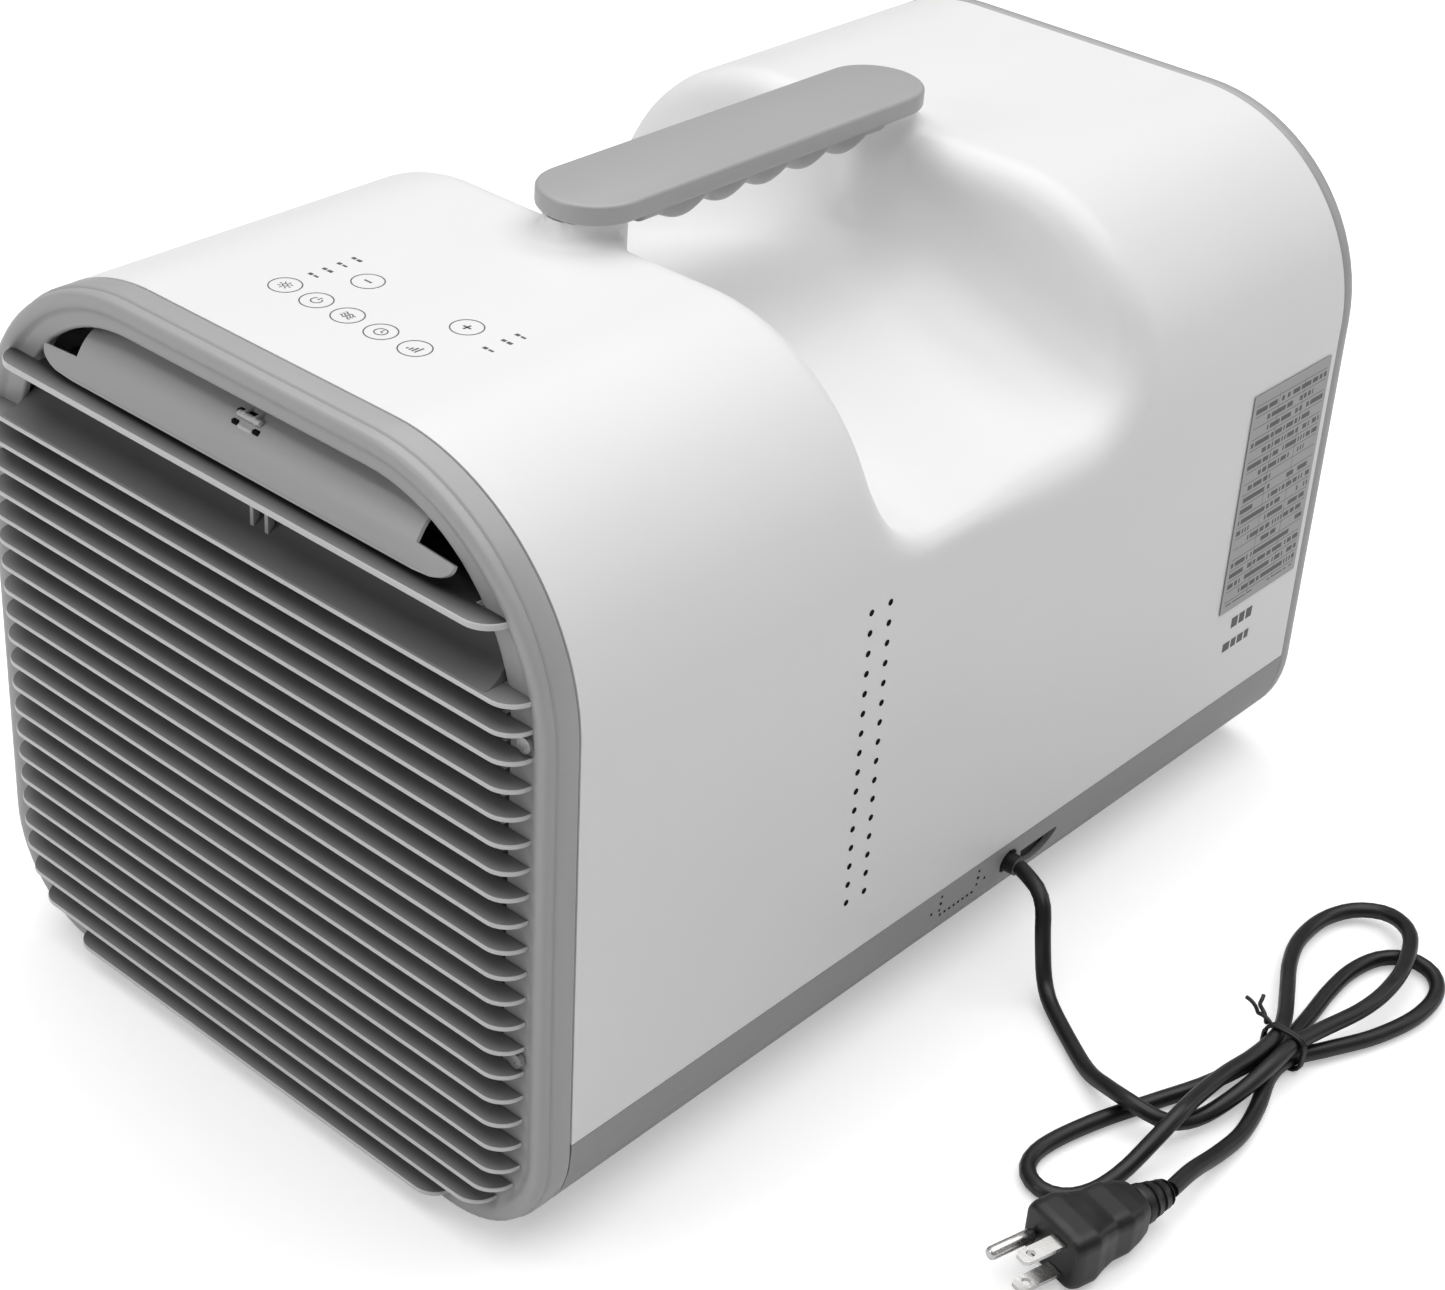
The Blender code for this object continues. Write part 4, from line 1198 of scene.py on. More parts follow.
CORD_ROUTE = (
    (0.1455, 0.0286, 0.0406), (0.1510, 0.0262, 0.0408), (0.1575, 0.0240, 0.0392),
    (0.1625, 0.0212, 0.0350), (0.1655, 0.0185, 0.0275), (0.1680, 0.0172, 0.0180),
    (0.1715, 0.0150, 0.0095), (0.1785, 0.0100, 0.0048), (0.1945, -0.0005, 0.0035),
    (0.2110, -0.0112, 0.0044), (0.2240, -0.0180, 0.0090), (0.2345, -0.0212, 0.0114),
    (0.2430, -0.0205, 0.0104), (0.2500, -0.0160, 0.0080), (0.2552, -0.0030, 0.0060),
    (0.2590, 0.0160, 0.0085), (0.2604, 0.0330, 0.0114), (0.2605, 0.0484, 0.0118),
    (0.2630, 0.0640, 0.0112), (0.2675, 0.0850, 0.0108), (0.2685, 0.1030, 0.0108),
    (0.2655, 0.1220, 0.0108), (0.2570, 0.1415, 0.0100), (0.2435, 0.1510, 0.0070),
    (0.2310, 0.1465, 0.0050), (0.2245, 0.1320, 0.0045), (0.2250, 0.1130, 0.0050),
    (0.2310, 0.0955, 0.0065), (0.2410, 0.0765, 0.0090), (0.2495, 0.0600, 0.0112),
    (0.2533, 0.0484, 0.0116), (0.2532, 0.0330, 0.0113), (0.2517, 0.0150, 0.0125),
    (0.2520, -0.0040, 0.0140), (0.2530, -0.0180, 0.0147), (0.2526, -0.0330, 0.0110),
    (0.2510, -0.0470, 0.0058), (0.2484, -0.0600, 0.0038), (0.2430, -0.0698, 0.0035),
    (0.2348, -0.0732, 0.0035), (0.2266, -0.0698, 0.0035), (0.2227, -0.0612, 0.0035),
    (0.2236, -0.0480, 0.0035), (0.2290, -0.0280, 0.0035), (0.2372, -0.0060, 0.0035),
    (0.2450, 0.0140, 0.0038), (0.2503, 0.0330, 0.0046), (0.2533, 0.0484, 0.0048),
    (0.2535, 0.0620, 0.0042), (0.2515, 0.0790, 0.0035), (0.2493, 0.0960, 0.0035),
    (0.2490, 0.1130, 0.0035), (0.2530, 0.1280, 0.0035), (0.2620, 0.1360, 0.0035),
    (0.2730, 0.1340, 0.0035), (0.2800, 0.1230, 0.0035), (0.2808, 0.1050, 0.0035),
    (0.2755, 0.0840, 0.0035), (0.2670, 0.0640, 0.0043), (0.2601, 0.0484, 0.0048),
    (0.2598, 0.0350, 0.0044), (0.2655, 0.0180, 0.0035), (0.2692, 0.0010, 0.0038),
    (0.2700, -0.0160, 0.0062), (0.2701, -0.0340, 0.0100), (0.2710, -0.0490, 0.0118),
)


def smooth_path(points: Sequence[Point3], step: float) -> list[Vector]:
    """Points a step apart along a smooth curve through the given ones.

    Args:
        points: The given points.
        step: The distance between the new ones, near enough.

    Returns:
        The new points.
    """
    route = [Vector(p) for p in points]
    padded = [2 * route[0] - route[1], *route, 2 * route[-1] - route[-2]]
    fine = []
    for a, b, c, d in zip(padded, padded[1:], padded[2:], padded[3:]):
        for i in range(12):
            t = i / 12
            bend = (2 * a - 5 * b + 4 * c - d) * t * t + (3 * b - a - 3 * c + d) * t ** 3
            fine.append(0.5 * (2 * b + (c - a) * t + bend))
    fine.append(route[-1])
    lengths = [0.0]
    for a, b in zip(fine, fine[1:]):
        lengths.append(lengths[-1] + (b - a).length)
    count = round(lengths[-1] / step)
    path, index = [], 0
    for i in range(count + 1):
        target = lengths[-1] * i / count
        while index < len(lengths) - 2 and lengths[index + 1] < target:
            index += 1
        span = lengths[index + 1] - lengths[index]
        path.append(fine[index].lerp(fine[index + 1], (target - lengths[index]) / span))
    return path


@dataclass(frozen=True)
class MainsCord:
    """The free cord, its wire tie and its grounded plug."""

    radius: float = 0.0031
    face: Point3 = (0.2575, -0.1015, 0.0118)
    backwards: Point3 = (0.2502, 0.9682, 0.0)
    plug_length: float = 0.038
    relief_length: float = 0.014
    flex_step: float = 0.004
    tie_centre: Point3 = (0.2567, 0.0484, 0.0083)
    tie_reach: Point2 = (0.0083, 0.0074)
    tie_spread: float = 0.0026
    tie_wire: float = 0.0008
    blade_offset: float = 0.00635
    blade_thickness: float = 0.0015
    pin_offset: float = -0.0077
    pin_length: float = 0.0200
    pin_radius: float = 0.0024
    mould_grid: float = 0.0008

    def build(self, shop: Workshop) -> None:
        """Make the cord and what is on it.

        Args:
            shop: The workshop that finishes the pieces.
        """
        path = smooth_path(CORD_ROUTE, self.flex_step)
        flex = self.tube("power_cord_flex", path, self.radius, 6, shop.palette["black_pvc"])
        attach(flex, HOUSING)
        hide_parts("power_cord")
        tie = self.tie(shop)
        plug = self.plug(shop)

    @staticmethod
    def tube(
        name: str, path: Sequence[Vector], radius: float, resolution: int, finish: bpy.types.Material,
    ) -> bpy.types.Object:
        """Make a round curve through points.

        Args:
            name: The curve's name.
            path: The points.
            radius: The curve's radius.
            resolution: How finely it is rounded.
            finish: Its material.

        Returns:
            The new object.
        """
        curve = bpy.data.curves.new(name, "CURVE")
        curve.dimensions = "3D"
        curve.bevel_depth = radius
        curve.bevel_resolution = resolution
        curve.use_fill_caps = True
        spline = curve.splines.new("POLY")
        spline.points.add(len(path) - 1)
        for target, point in zip(spline.points, path):
            target.co = (*point, 1)
        spline.use_smooth = True
        curve.materials.append(finish)
        made = bpy.data.objects.new(name, curve)
        bpy.context.scene.collection.objects.link(made)
        return made

    def tie(self, shop: Workshop) -> list[bpy.types.Object]:
        """Wind a plastic-coated wire twice round the four strands and twist its ends.

        Args:
            shop: The workshop that finishes the pieces.

        Returns:
            The windings and the two tails.
        """
        black = shop.palette["black_pvc"]
        made = [self.tube("tie_windings", self.tie_turns(), self.tie_wire, 2, black)]
        for name, phase, length, drift in (
            ("tie_tail_long", 0.0, 0.016, (0.003, 0.0)), ("tie_tail_short", math.pi, 0.013, (0.0, 0.010)),
        ):
            made.append(self.tube(name, self.tie_tail(phase, length, drift), self.tie_wire, 2, black))
        for wire in made:
            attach(wire, HOUSING)
        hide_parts("cord_tie")
        return made

    def tie_turns(self) -> list[Vector]:
        """Two turns of the tie's wire, squared off round the strands.

        Returns:
            Points along the wire.
        """
        cx, cy, cz = self.tie_centre
        count = 64
        turns = []
        for i in range(count + 1):
            angle = math.radians(150 + 720 * i / count)
            across, up = math.cos(angle), math.sin(angle)
            squared = min(1 / max(abs(across) ** 4 + abs(up) ** 4, 1e-6) ** 0.25, 1.16)
            x = cx + self.tie_reach[0] * squared * across
            z = cz + self.tie_reach[1] * squared * up
            turns.append(Vector((x, cy + self.tie_spread * (i / count - 0.5), z)))
        return turns

    def tie_tail(self, phase: float, length: float, drift: Point2) -> list[Vector]:
        """One of the tie's two twisted ends.

        Args:
            phase: Where it starts round the twist, in radians.
            length: Its length before it curls.
            drift: How far it goes along Y, evenly and ever faster.

        Returns:
            Points along it.
        """
        cx, cy, cz = self.tie_centre
        count = 14
        tail = []
        for i in range(count + 1):
            t = i / count
            curl = 0.0009 * (1 - 0.3 * t)
            angle = phase + 9.0 * t
            tail.append(Vector((
                cx - 0.0078 - length * 0.75 * t + curl * math.cos(angle),
                cy + 0.001 + drift[0] * t + drift[1] * t * t,
                cz + 0.0060 + length * 0.20 * t + curl * math.sin(angle),
            )))
        return tail

    def place(self) -> Matrix:
        """The plug's own axes: X across, Y from its face to the cord, Z up.

        Returns:
            The matrix from them to the object.
        """
        back = Vector(self.backwards).normalized()
        side = Vector((back.y, -back.x, 0.0))
        turn = Matrix((side, back, Vector((0, 0, 1)))).transposed().to_4x4()
        return Matrix.Translation(self.face) @ turn

    def plug(self, shop: Workshop) -> list[bpy.types.Object]:
        """Make the moulded plug body, its ribbed relief, and its pins.

        Args:
            shop: The workshop that finishes the pieces.

        Returns:
            The pieces of the plug.
        """
        along = np.array([0.0, 0.003, 0.010, 0.0145, 0.020, 0.027, 0.033, 0.038])
        across = np.array([0.0132, 0.0140, 0.0140, 0.0124, 0.0112, 0.0112, 0.0098, 0.0080])
        upward = np.array([0.0106, 0.0112, 0.0112, 0.0106, 0.0098, 0.0098, 0.0090, 0.0078])

        def body(x: np.ndarray, y: np.ndarray, z: np.ndarray) -> np.ndarray:
            """Rounded block that narrows to the cord, with a finger hollow on each side.

            Args:
                x: Places along X.
                y: Places along Y.
                z: Heights.

            Returns:
                The distance to its surface.
            """
            half_x = np.interp(y, along, across)
            half_z = np.interp(y, along, upward)
            sleeve = corner_distance(np.abs(x) - half_x, np.abs(z) - half_z, 0.0050)
            return rounded_max(sleeve, np.maximum(-y, y - self.plug_length), 0.0012)

        spans = ((-0.0156, 0.0157), (-0.0012, 0.0400), (-0.0128, 0.0129))
        lines = tuple(np.arange(low, high, self.mould_grid) for low, high in spans)
        moulding = MouldedSurface(body, lines, {}).build()
        bmesh.ops.smooth_vert(
            moulding, verts=moulding.verts, factor=0.3, use_axis_x=True, use_axis_y=True, use_axis_z=True,
        )
        pin_end = (self.pin_offset, -self.pin_length, 0)
        pin = rounded_rod(pin_end, (self.pin_offset, -GAP, 0), self.pin_radius, 0.0014, 28)
        upper, lower = self.blade(self.blade_offset), self.blade(-self.blade_offset)
        made = []
        for name, bm, finish, stands_for, angle in (
            ("plug_moulding", moulding, "black_pvc", "plug_body", 50.0),
            ("plug_strain_relief", self.relief(), "black_pvc", "plug_relief", 50.0),
            ("plug_flat_blade_upper", upper, "nickel", "plug_blade_upper", 35.0),
            ("plug_flat_blade_lower", lower, "nickel", "plug_blade_lower", 35.0),
            ("plug_round_pin", pin, "nickel", "plug_ground_pin", 50.0),
        ):
            bmesh.ops.transform(bm, matrix=self.place(), verts=bm.verts)
            made.append(shop.piece(name, bm, finish, HOUSING, [stands_for], angle=angle))
        return made

    def relief(self) -> BMesh:
        """Tapered sleeve with three ribs.

        Returns:
            The new bmesh.
        """
        start = self.plug_length + GAP
        stations = [(0.0, 0.0070), (0.0006, 0.0074)]
        for rib in range(3):
            y = 0.0012 + 0.0042 * rib
            radius = 0.0074 - 0.0009 * rib
            stations += [(y, radius), (y + 0.0022, radius - 0.0002), (y + 0.0026, radius - 0.0012)]
            stations += [(y + 0.0038, radius - 0.0014), (y + 0.0041, radius - 0.0008)]
        stations += [(self.relief_length - 0.0006, 0.0049), (self.relief_length, 0.0044)]
        loops = []
        for y, radius in stations:
            loops.append([Vector((x, start + y, z)) for x, z in arc((0, 0), radius, 0, 352.5, 47)])
        return ring_mesh(loops, Ends.CAPPED)

    def blade(self, up: float) -> BMesh:
        """Flat blade with a chamfered tip and a round hole.

        Args:
            up: The height of the blade's middle.

        Returns:
            The new bmesh.
        """
        low, high, tip, root = 0.0010, 0.0073, -0.0170, -GAP
        shoulder = tip + 0.0016
        outline = [(low, root), (low, shoulder), (low + 0.0012, tip)]
        outline += [(high - 0.0012, tip), (high, shoulder), (high, root)]
        hole = arc(((low + high) / 2, -0.0125), 0.0016, 0, 345, 23)
        bm = bmesh.new()
        edges = []
        for points in (outline, hole):
            verts = [bm.verts.new((x, y, up - self.blade_thickness / 2)) for x, y in points]
            edges += [bm.edges.new((verts[i - 1], verts[i])) for i in range(len(verts))]
        bmesh.ops.triangle_fill(bm, use_beauty=True, edges=edges)
        thicken(bm, Vector((0, 0, self.blade_thickness)))
        return bm


# -------------------------------------------------------------------------- the housing


@dataclass(frozen=True)
class Scoop:
    """The hand scoop: a channel from side to side whose floor falls away from the middle."""

    middle: float = 0.0085
    half_length: float = 0.0755
    radius: float = 0.030
    middle_floor: float = 0.2380
    side_floor: float = 0.2085
    reach: float = 0.139

    def distance(self, x: np.ndarray, y: np.ndarray, z: np.ndarray) -> np.ndarray:
        """Distance to the channel's surface, negative inside the channel.

        Args:
            x: Places along X.
            y: Places along Y.
            z: Heights.

        Returns:
            The distances.
        """
        share = (1 - np.cos(np.pi * np.minimum(np.abs(x), self.reach) / self.reach)) / 2
        floor = self.middle_floor + (self.side_floor - self.middle_floor) * share
        wall = np.abs(y - self.middle) - self.half_length
        return corner_distance(wall, floor - z, self.radius)


@dataclass(frozen=True)
class WhiteShell:
    """The white cover, with its scoop and the two mounds that carry the handle."""

    front: float = -0.2100
    rear: float = 0.2233
    lower_edge: float = 0.0497
    wall: float = 0.0025
    seat_top: float = 0.2908
    seat_root: float = 0.2340
    seat_half_width: float = 0.0125
    seat_fillet: float = 0.0070
    seats: tuple[Point2, ...] = ((-0.0875, -0.0563), (0.0763, 0.1015))
    scoop: Scoop = Scoop()
    scoop_edges: Point2 = (0.0075, 0.0130)
    hole_columns: Point2 = (-0.0731, -0.0631)
    hole_rows: int = 16
    hole_top: float = 0.1932
    hole_pitch: float = 0.0079
    hole_radius: float = 0.00125

    def field(self, x: np.ndarray, y: np.ndarray, z: np.ndarray) -> np.ndarray:
        """Distance to the outside of the shell.

        Args:
            x: Places along X.
            y: Places along Y.
            z: Heights.

        Returns:
            The distances.
        """
        lean = np.abs(x) - BODY.draft * (BODY.top - z)
        body = corner_distance(lean - BODY.half_width, z - BODY.top, BODY.top_radius)
        rise = np.clip((y - self.scoop.middle) / 0.06 + 0.5, 0.0, 1.0)
        front_edge, rear_edge = self.scoop_edges
        edge = front_edge + (rear_edge - front_edge) * rise * rise * (3 - 2 * rise)
        skin = rounded_max(body, -self.scoop.distance(x, y, z), edge)
        for near, far in self.seats:
            half = (far - near) / 2 - self.seat_half_width
            away = np.maximum(np.abs(y - (near + far) / 2) - half, 0.0)
            post = np.hypot(x, away) - self.seat_half_width
            post = np.maximum(post, np.maximum(z - self.seat_top, self.seat_root - z))
            skin = rounded_min(skin, post, self.seat_fillet)
        return skin

    def build(self, shop: Workshop) -> None:
        """Make the shell and its two columns of air holes.

        Args:
            shop: The workshop that finishes the pieces.
        """
        margin = 0.0010
        across = spaced([(-0.025, 0.0028), (0.025, 0.0020), (0.147, 0.0028)], -0.147)
        stops = [(-0.100, 0.0060), (-0.048, 0.0022), (0.066, 0.0030), (0.112, 0.0022)]
        along = spaced([*stops, (self.rear - margin, 0.0060)], self.front + margin)
        along = np.concatenate([[self.front - margin], along, [self.rear + margin]])
        stops = [(0.170, 0.0120), (0.186, 0.0040), (0.2940, 0.0022)]
        upward = np.concatenate([[self.lower_edge - margin], spaced(stops, self.lower_edge + margin)])
        pins = {1: (self.front, self.rear), 2: (self.lower_edge, None)}
        bm = MouldedSurface(self.field, (across, along, upward), pins).build()
        bmesh.ops.recalc_face_normals(bm, faces=bm.faces)
        bmesh.ops.solidify(bm, geom=bm.faces[:] + bm.edges[:] + bm.verts[:], thickness=self.wall)
        shop.piece("shell_cover", bm, "white_shell", stands_for=["shell"], angle=50.0)
        self.air_holes(shop)

    def air_holes(self, shop: Workshop) -> None:
        """Two columns of small round holes beside the blower.

        Args:
            shop: The workshop that finishes the pieces.
        """
        holes = []
        for y in self.hole_columns:
            for row in range(self.hole_rows):
                z = self.hole_top - self.hole_pitch * row
                x = BODY.half_width_at(z)
                start, end = (x - 0.0020, y, z), (x + 0.00006, y, z)
                holes.append(rounded_rod(start, end, self.hole_radius, sides=18))
        # Near-black discs stand in for the holes: painted shade of the inside seen through them.
        shop.piece("shell_air_holes", merge(holes), "hole_painted_shade")


@dataclass(frozen=True)
class CarryHandle:
    """The handle's flat top plate and the grooved grip under it."""

    middle: float = 0.0062
    length: float = 0.189
    width: float = 0.039
    top: float = 0.2986
    thickness: float = 0.0075
    grip_half_width: float = 0.0125
    grip_front: float = -0.0560
    grip_rear: float = 0.0760
    grip_bottom: float = 0.2838
    lobe: float = 0.0222
    lobe_depth: float = 0.0036
    lobes: int = 5
    first_lobe: float = -0.0453
    grid: float = 0.0012

    def build(self, shop: Workshop) -> None:
        """Make both pieces.

        Args:
            shop: The workshop that finishes the pieces.
        """
        half, round_end = self.length / 2, self.width / 2
        plan = arc((0, self.middle - half + round_end), round_end, 180, 360, 28)
        plan += arc((0, self.middle + half - round_end), round_end, 0, 180, 28)
        outline = [Vector((x, y, self.top - self.thickness)) for x, y in plan]
        plate = plate_mesh(outline, Vector((0, 0, self.thickness)), 0.0015, 4)
        shop.piece("handle_top_plate", plate, "light_grey", stands_for=["handle_plate"], angle=30.0)
        under = self.top - self.thickness - GAP

        def grip(x: np.ndarray, y: np.ndarray, z: np.ndarray) -> np.ndarray:
            """A bar with finger lobes along its underside.

            Args:
                x: Places along X.
                y: Places along Y.
                z: Heights.

            Returns:
                The distance to its surface.
            """
            share = (y - self.first_lobe) / self.lobe
            inside = (share > 0) & (share < self.lobes)
            wave = np.where(inside, np.abs(np.sin(np.pi * share)), 0.0)
            bottom = self.grip_bottom - self.lobe_depth * wave
            bar = rounded_max((bottom - z) * 0.9, np.abs(x) - self.grip_half_width, 0.0045)
            return rounded_max(bar, np.maximum(self.grip_front - y, y - self.grip_rear), 0.0010)

        lines = (
            np.arange(-0.0144, 0.0145, self.grid),
            np.arange(self.grip_front - self.grid / 2, self.grip_rear + self.grid, self.grid),
            np.concatenate([np.arange(0.2786, under - 0.0004, 0.0011), [under + 0.0005]]),
        )
        bm = MouldedSurface(grip, lines, {2: (None, under)}).build()
        shop.piece("handle_finger_grip", bm, "light_grey", stands_for=["handle_grip"], angle=60.0)


@dataclass(frozen=True)
class FrontBezel:
    """The grey frame round the louvres and the outlet."""

    rim: tuple[Point2, ...] = (
        (0.0008, -0.2103), (0.0000, -0.2109), (0.0000, -0.2184), (0.0003, -0.2190), (0.0009, -0.2194),
        (0.0009, -0.2213), (0.0012, -0.2224), (0.0020, -0.2231), (0.0031, -0.2234), (0.0044, -0.2234),
        (0.0058, -0.2231), (0.0070, -0.2224), (0.0080, -0.2217), (0.0092, -0.2214),
    )
    lip: tuple[Point2, ...] = (
        (-0.0012, -0.2213), (-0.0003, -0.2210), (0.0, -0.2203), (0.0, -0.2190), (-0.0006, -0.2185),
        (-0.0036, -0.2180), (-0.0040, -0.2103),
    )

    def build(self, shop: Workshop) -> None:
        """Make the frame as one closed ring.

        Args:
            shop: The workshop that finishes the pieces.
        """
        loops = [BODY.loop(inset, y) for inset, y in self.rim]
        loops += [OPENING.loop(inset, y) for inset, y in self.lip]
        ring = ring_mesh(loops, Ends.CLOSED)
        shop.piece("front_bezel", ring, "light_grey", stands_for=["front_frame"], angle=50.0)


@dataclass(frozen=True)
class LouvreGrille:
    """The intake blades, which wrap round at their ends, and the frame behind them."""

    front: float = -0.2310
    seat: float = -0.2216
    back: float = -0.2165
    first: float = 0.2209
    pitch: float = 0.01004
    thickness: float = 0.0018
    count: int = 22
    half_width: float = 0.1285
    corner: float = 0.0095
    tongue: float = 0.1155
    low_radius: float = 0.036
    rounding: float = 0.0007
    bar_front: float = -0.2130
    uprights: tuple[Point2, ...] = ((-0.1130, 0.012), (-0.0385, 0.0), (0.0385, 0.0), (0.1130, 0.012))

    def plan(self, half: float, corner: float, inner: float) -> list[Point2]:
        """A blade seen from above.

        Args:
            half: Half of its width.
            corner: Radius of its front corners.
            inner: Half of the width of the part behind the opening's edge.

        Returns:
            Its outline.
        """
        y = self.front + corner
        points = [(-inner, self.back), (-inner, self.seat), (-half + 0.0006, self.seat)]
        points += arc((-half + corner, y), corner, 180, 270, 10)
        points += arc((half - corner, y), corner, 270, 360, 10)
        return points + [(half - 0.0006, self.seat), (inner, self.seat), (inner, self.back)]

    def build(self, shop: Workshop) -> None:
        """Make the blades and the slotted frame.

        Args:
            shop: The workshop that finishes the pieces.
        """
        heights = [self.first - self.pitch * row - self.thickness / 2 for row in range(self.count)]
        blades = []
        for z in heights:
            rise = z - heights[-1] + 0.0004
            half = self.half_width
            if rise < self.low_radius:
                drop = self.low_radius - rise
                half -= self.low_radius - math.sqrt(self.low_radius ** 2 - drop ** 2)
            inner = min(self.tongue, half - 0.006)
            outline = [Vector((x, y, z)) for x, y in self.plan(half, self.corner, inner)]
            blades.append(plate_mesh(outline, Vector((0, 0, self.thickness)), self.rounding))
        # The blades' faces are painted shade, darker towards the back; their rims get a painted highlight.
        made = shop.piece(
            "louvre_blades", merge(blades), "blade_grey", stands_for=["louvre_grille"], angle=50.0,
        )
        shop.paint_rim_highlight(made, "rim_painted_highlight", 0.93)
        self.back_frame(shop, heights[-1] + 0.004)

    def back_frame(self, shop: Workshop, low: float) -> None:
        """Make the slotted frame that the blades are fixed to.

        Args:
            shop: The workshop that finishes the pieces.
            low: The frame's lower edge.
        """
        high, front = self.first, self.bar_front
        bars = [cuboid((-self.tongue, self.back, high - 0.006), (self.tongue, front, high), 0.0005)]
        for x, lift in self.uprights:
            near = (x - 0.0015, self.back + 0.0002, low + lift)
            bars.append(cuboid(near, (x + 0.0015, front - 0.0002, high - 0.003), 0.0004))
        bars.append(cuboid((-0.100, self.back, low), (0.100, front, low + 0.006), 0.0005))
        shop.piece("grille_back_frame", merge(bars), "dark_plastic")


@dataclass(frozen=True)
class OutletLip:
    """The thick top louvre and the sloping panel under it."""

    height: float = 0.2427
    thickness: float = 0.0024
    half_width: float = 0.1180
    corner: float = 0.0105
    front: float = -0.2310
    seat: float = -0.2216
    back: float = -0.2050
    inner: float = 0.1040
    cove: tuple[Point2, ...] = (
        (-0.2108, 0.2375), (-0.2135, 0.2330), (-0.2170, 0.2290), (-0.2205, 0.2258), (-0.2240, 0.2235),
        (-0.2275, 0.2222), (-0.2296, 0.2219), (-0.2296, 0.2216), (-0.2225, 0.2214), (-0.2175, 0.2240),
        (-0.2125, 0.2300), (-0.2090, 0.2360),
    )
    clips: Point2 = (0.0020, 0.0090)

    @staticmethod
    def reach_at(z: float) -> float:
        """Half width of the outlet opening at a height, less a small gap.

        Args:
            z: The height.

        Returns:
            The half width.
        """
        radius = OPENING.top_radius
        above = max(0.0, z - (OPENING.top - radius))
        return OPENING.half_width - radius + math.sqrt(radius ** 2 - above ** 2) - 0.0004

    def build(self, shop: Workshop) -> None:
        """Make the lip with its panel, and two small clips under it.

        Args:
            shop: The workshop that finishes the pieces.
        """
        low = self.height - self.thickness / 2
        half, inner, y = self.half_width, self.inner, self.front + self.corner
        plan = [(-inner, self.back), (-inner, self.seat), (-half + 0.001, self.seat)]
        plan += arc((-half + self.corner, y), self.corner, 180, 270, 10)
        plan += arc((half - self.corner, y), self.corner, 270, 360, 10)
        plan += [(half - 0.001, self.seat), (inner, self.seat), (inner, self.back)]
        outline = [Vector((x, y, low)) for x, y in plan]
        lip = plate_mesh(outline, Vector((0, 0, self.thickness)), 0.0010, 4)
        # The lip's top face is painted shade, near black towards the back; its rims get a painted
        # highlight.
        made = shop.piece("outlet_top_louvre", lip, "lip_grey", stands_for=["outlet_lip"], angle=50.0)
        shop.paint_rim_highlight(made, "rim_painted_highlight", 0.90)
        self.sloping_panel(shop, low + 0.0004)
        legs = []
        for x in self.clips:
            legs.append(cuboid((x - 0.0009, -0.2206, 0.2245), (x + 0.0009, -0.2178, 0.2325), 0.0003))
        shop.piece("outlet_panel_clips", merge(legs), "light_grey")

    def sloping_panel(self, shop: Workshop, top: float) -> None:
        """Make the coved panel that closes the gap down to the first blade.

        Args:
            shop: The workshop that finishes the pieces.
            top: The height of the panel's upper edge.
        """
        profile = [(-0.2090, top), *self.cove, (-0.2055, top)]
        loops = []
        for step in range(-6, 7):
            loops.append([Vector((self.reach_at(z) * step / 6, y, z)) for y, z in profile])
        panel = ring_mesh(loops, Ends.CAPPED)
        # The panel's grey is painted shade, darker towards the back.
        shop.piece("outlet_sloping_panel", panel, "shelf_grey", angle=50.0)


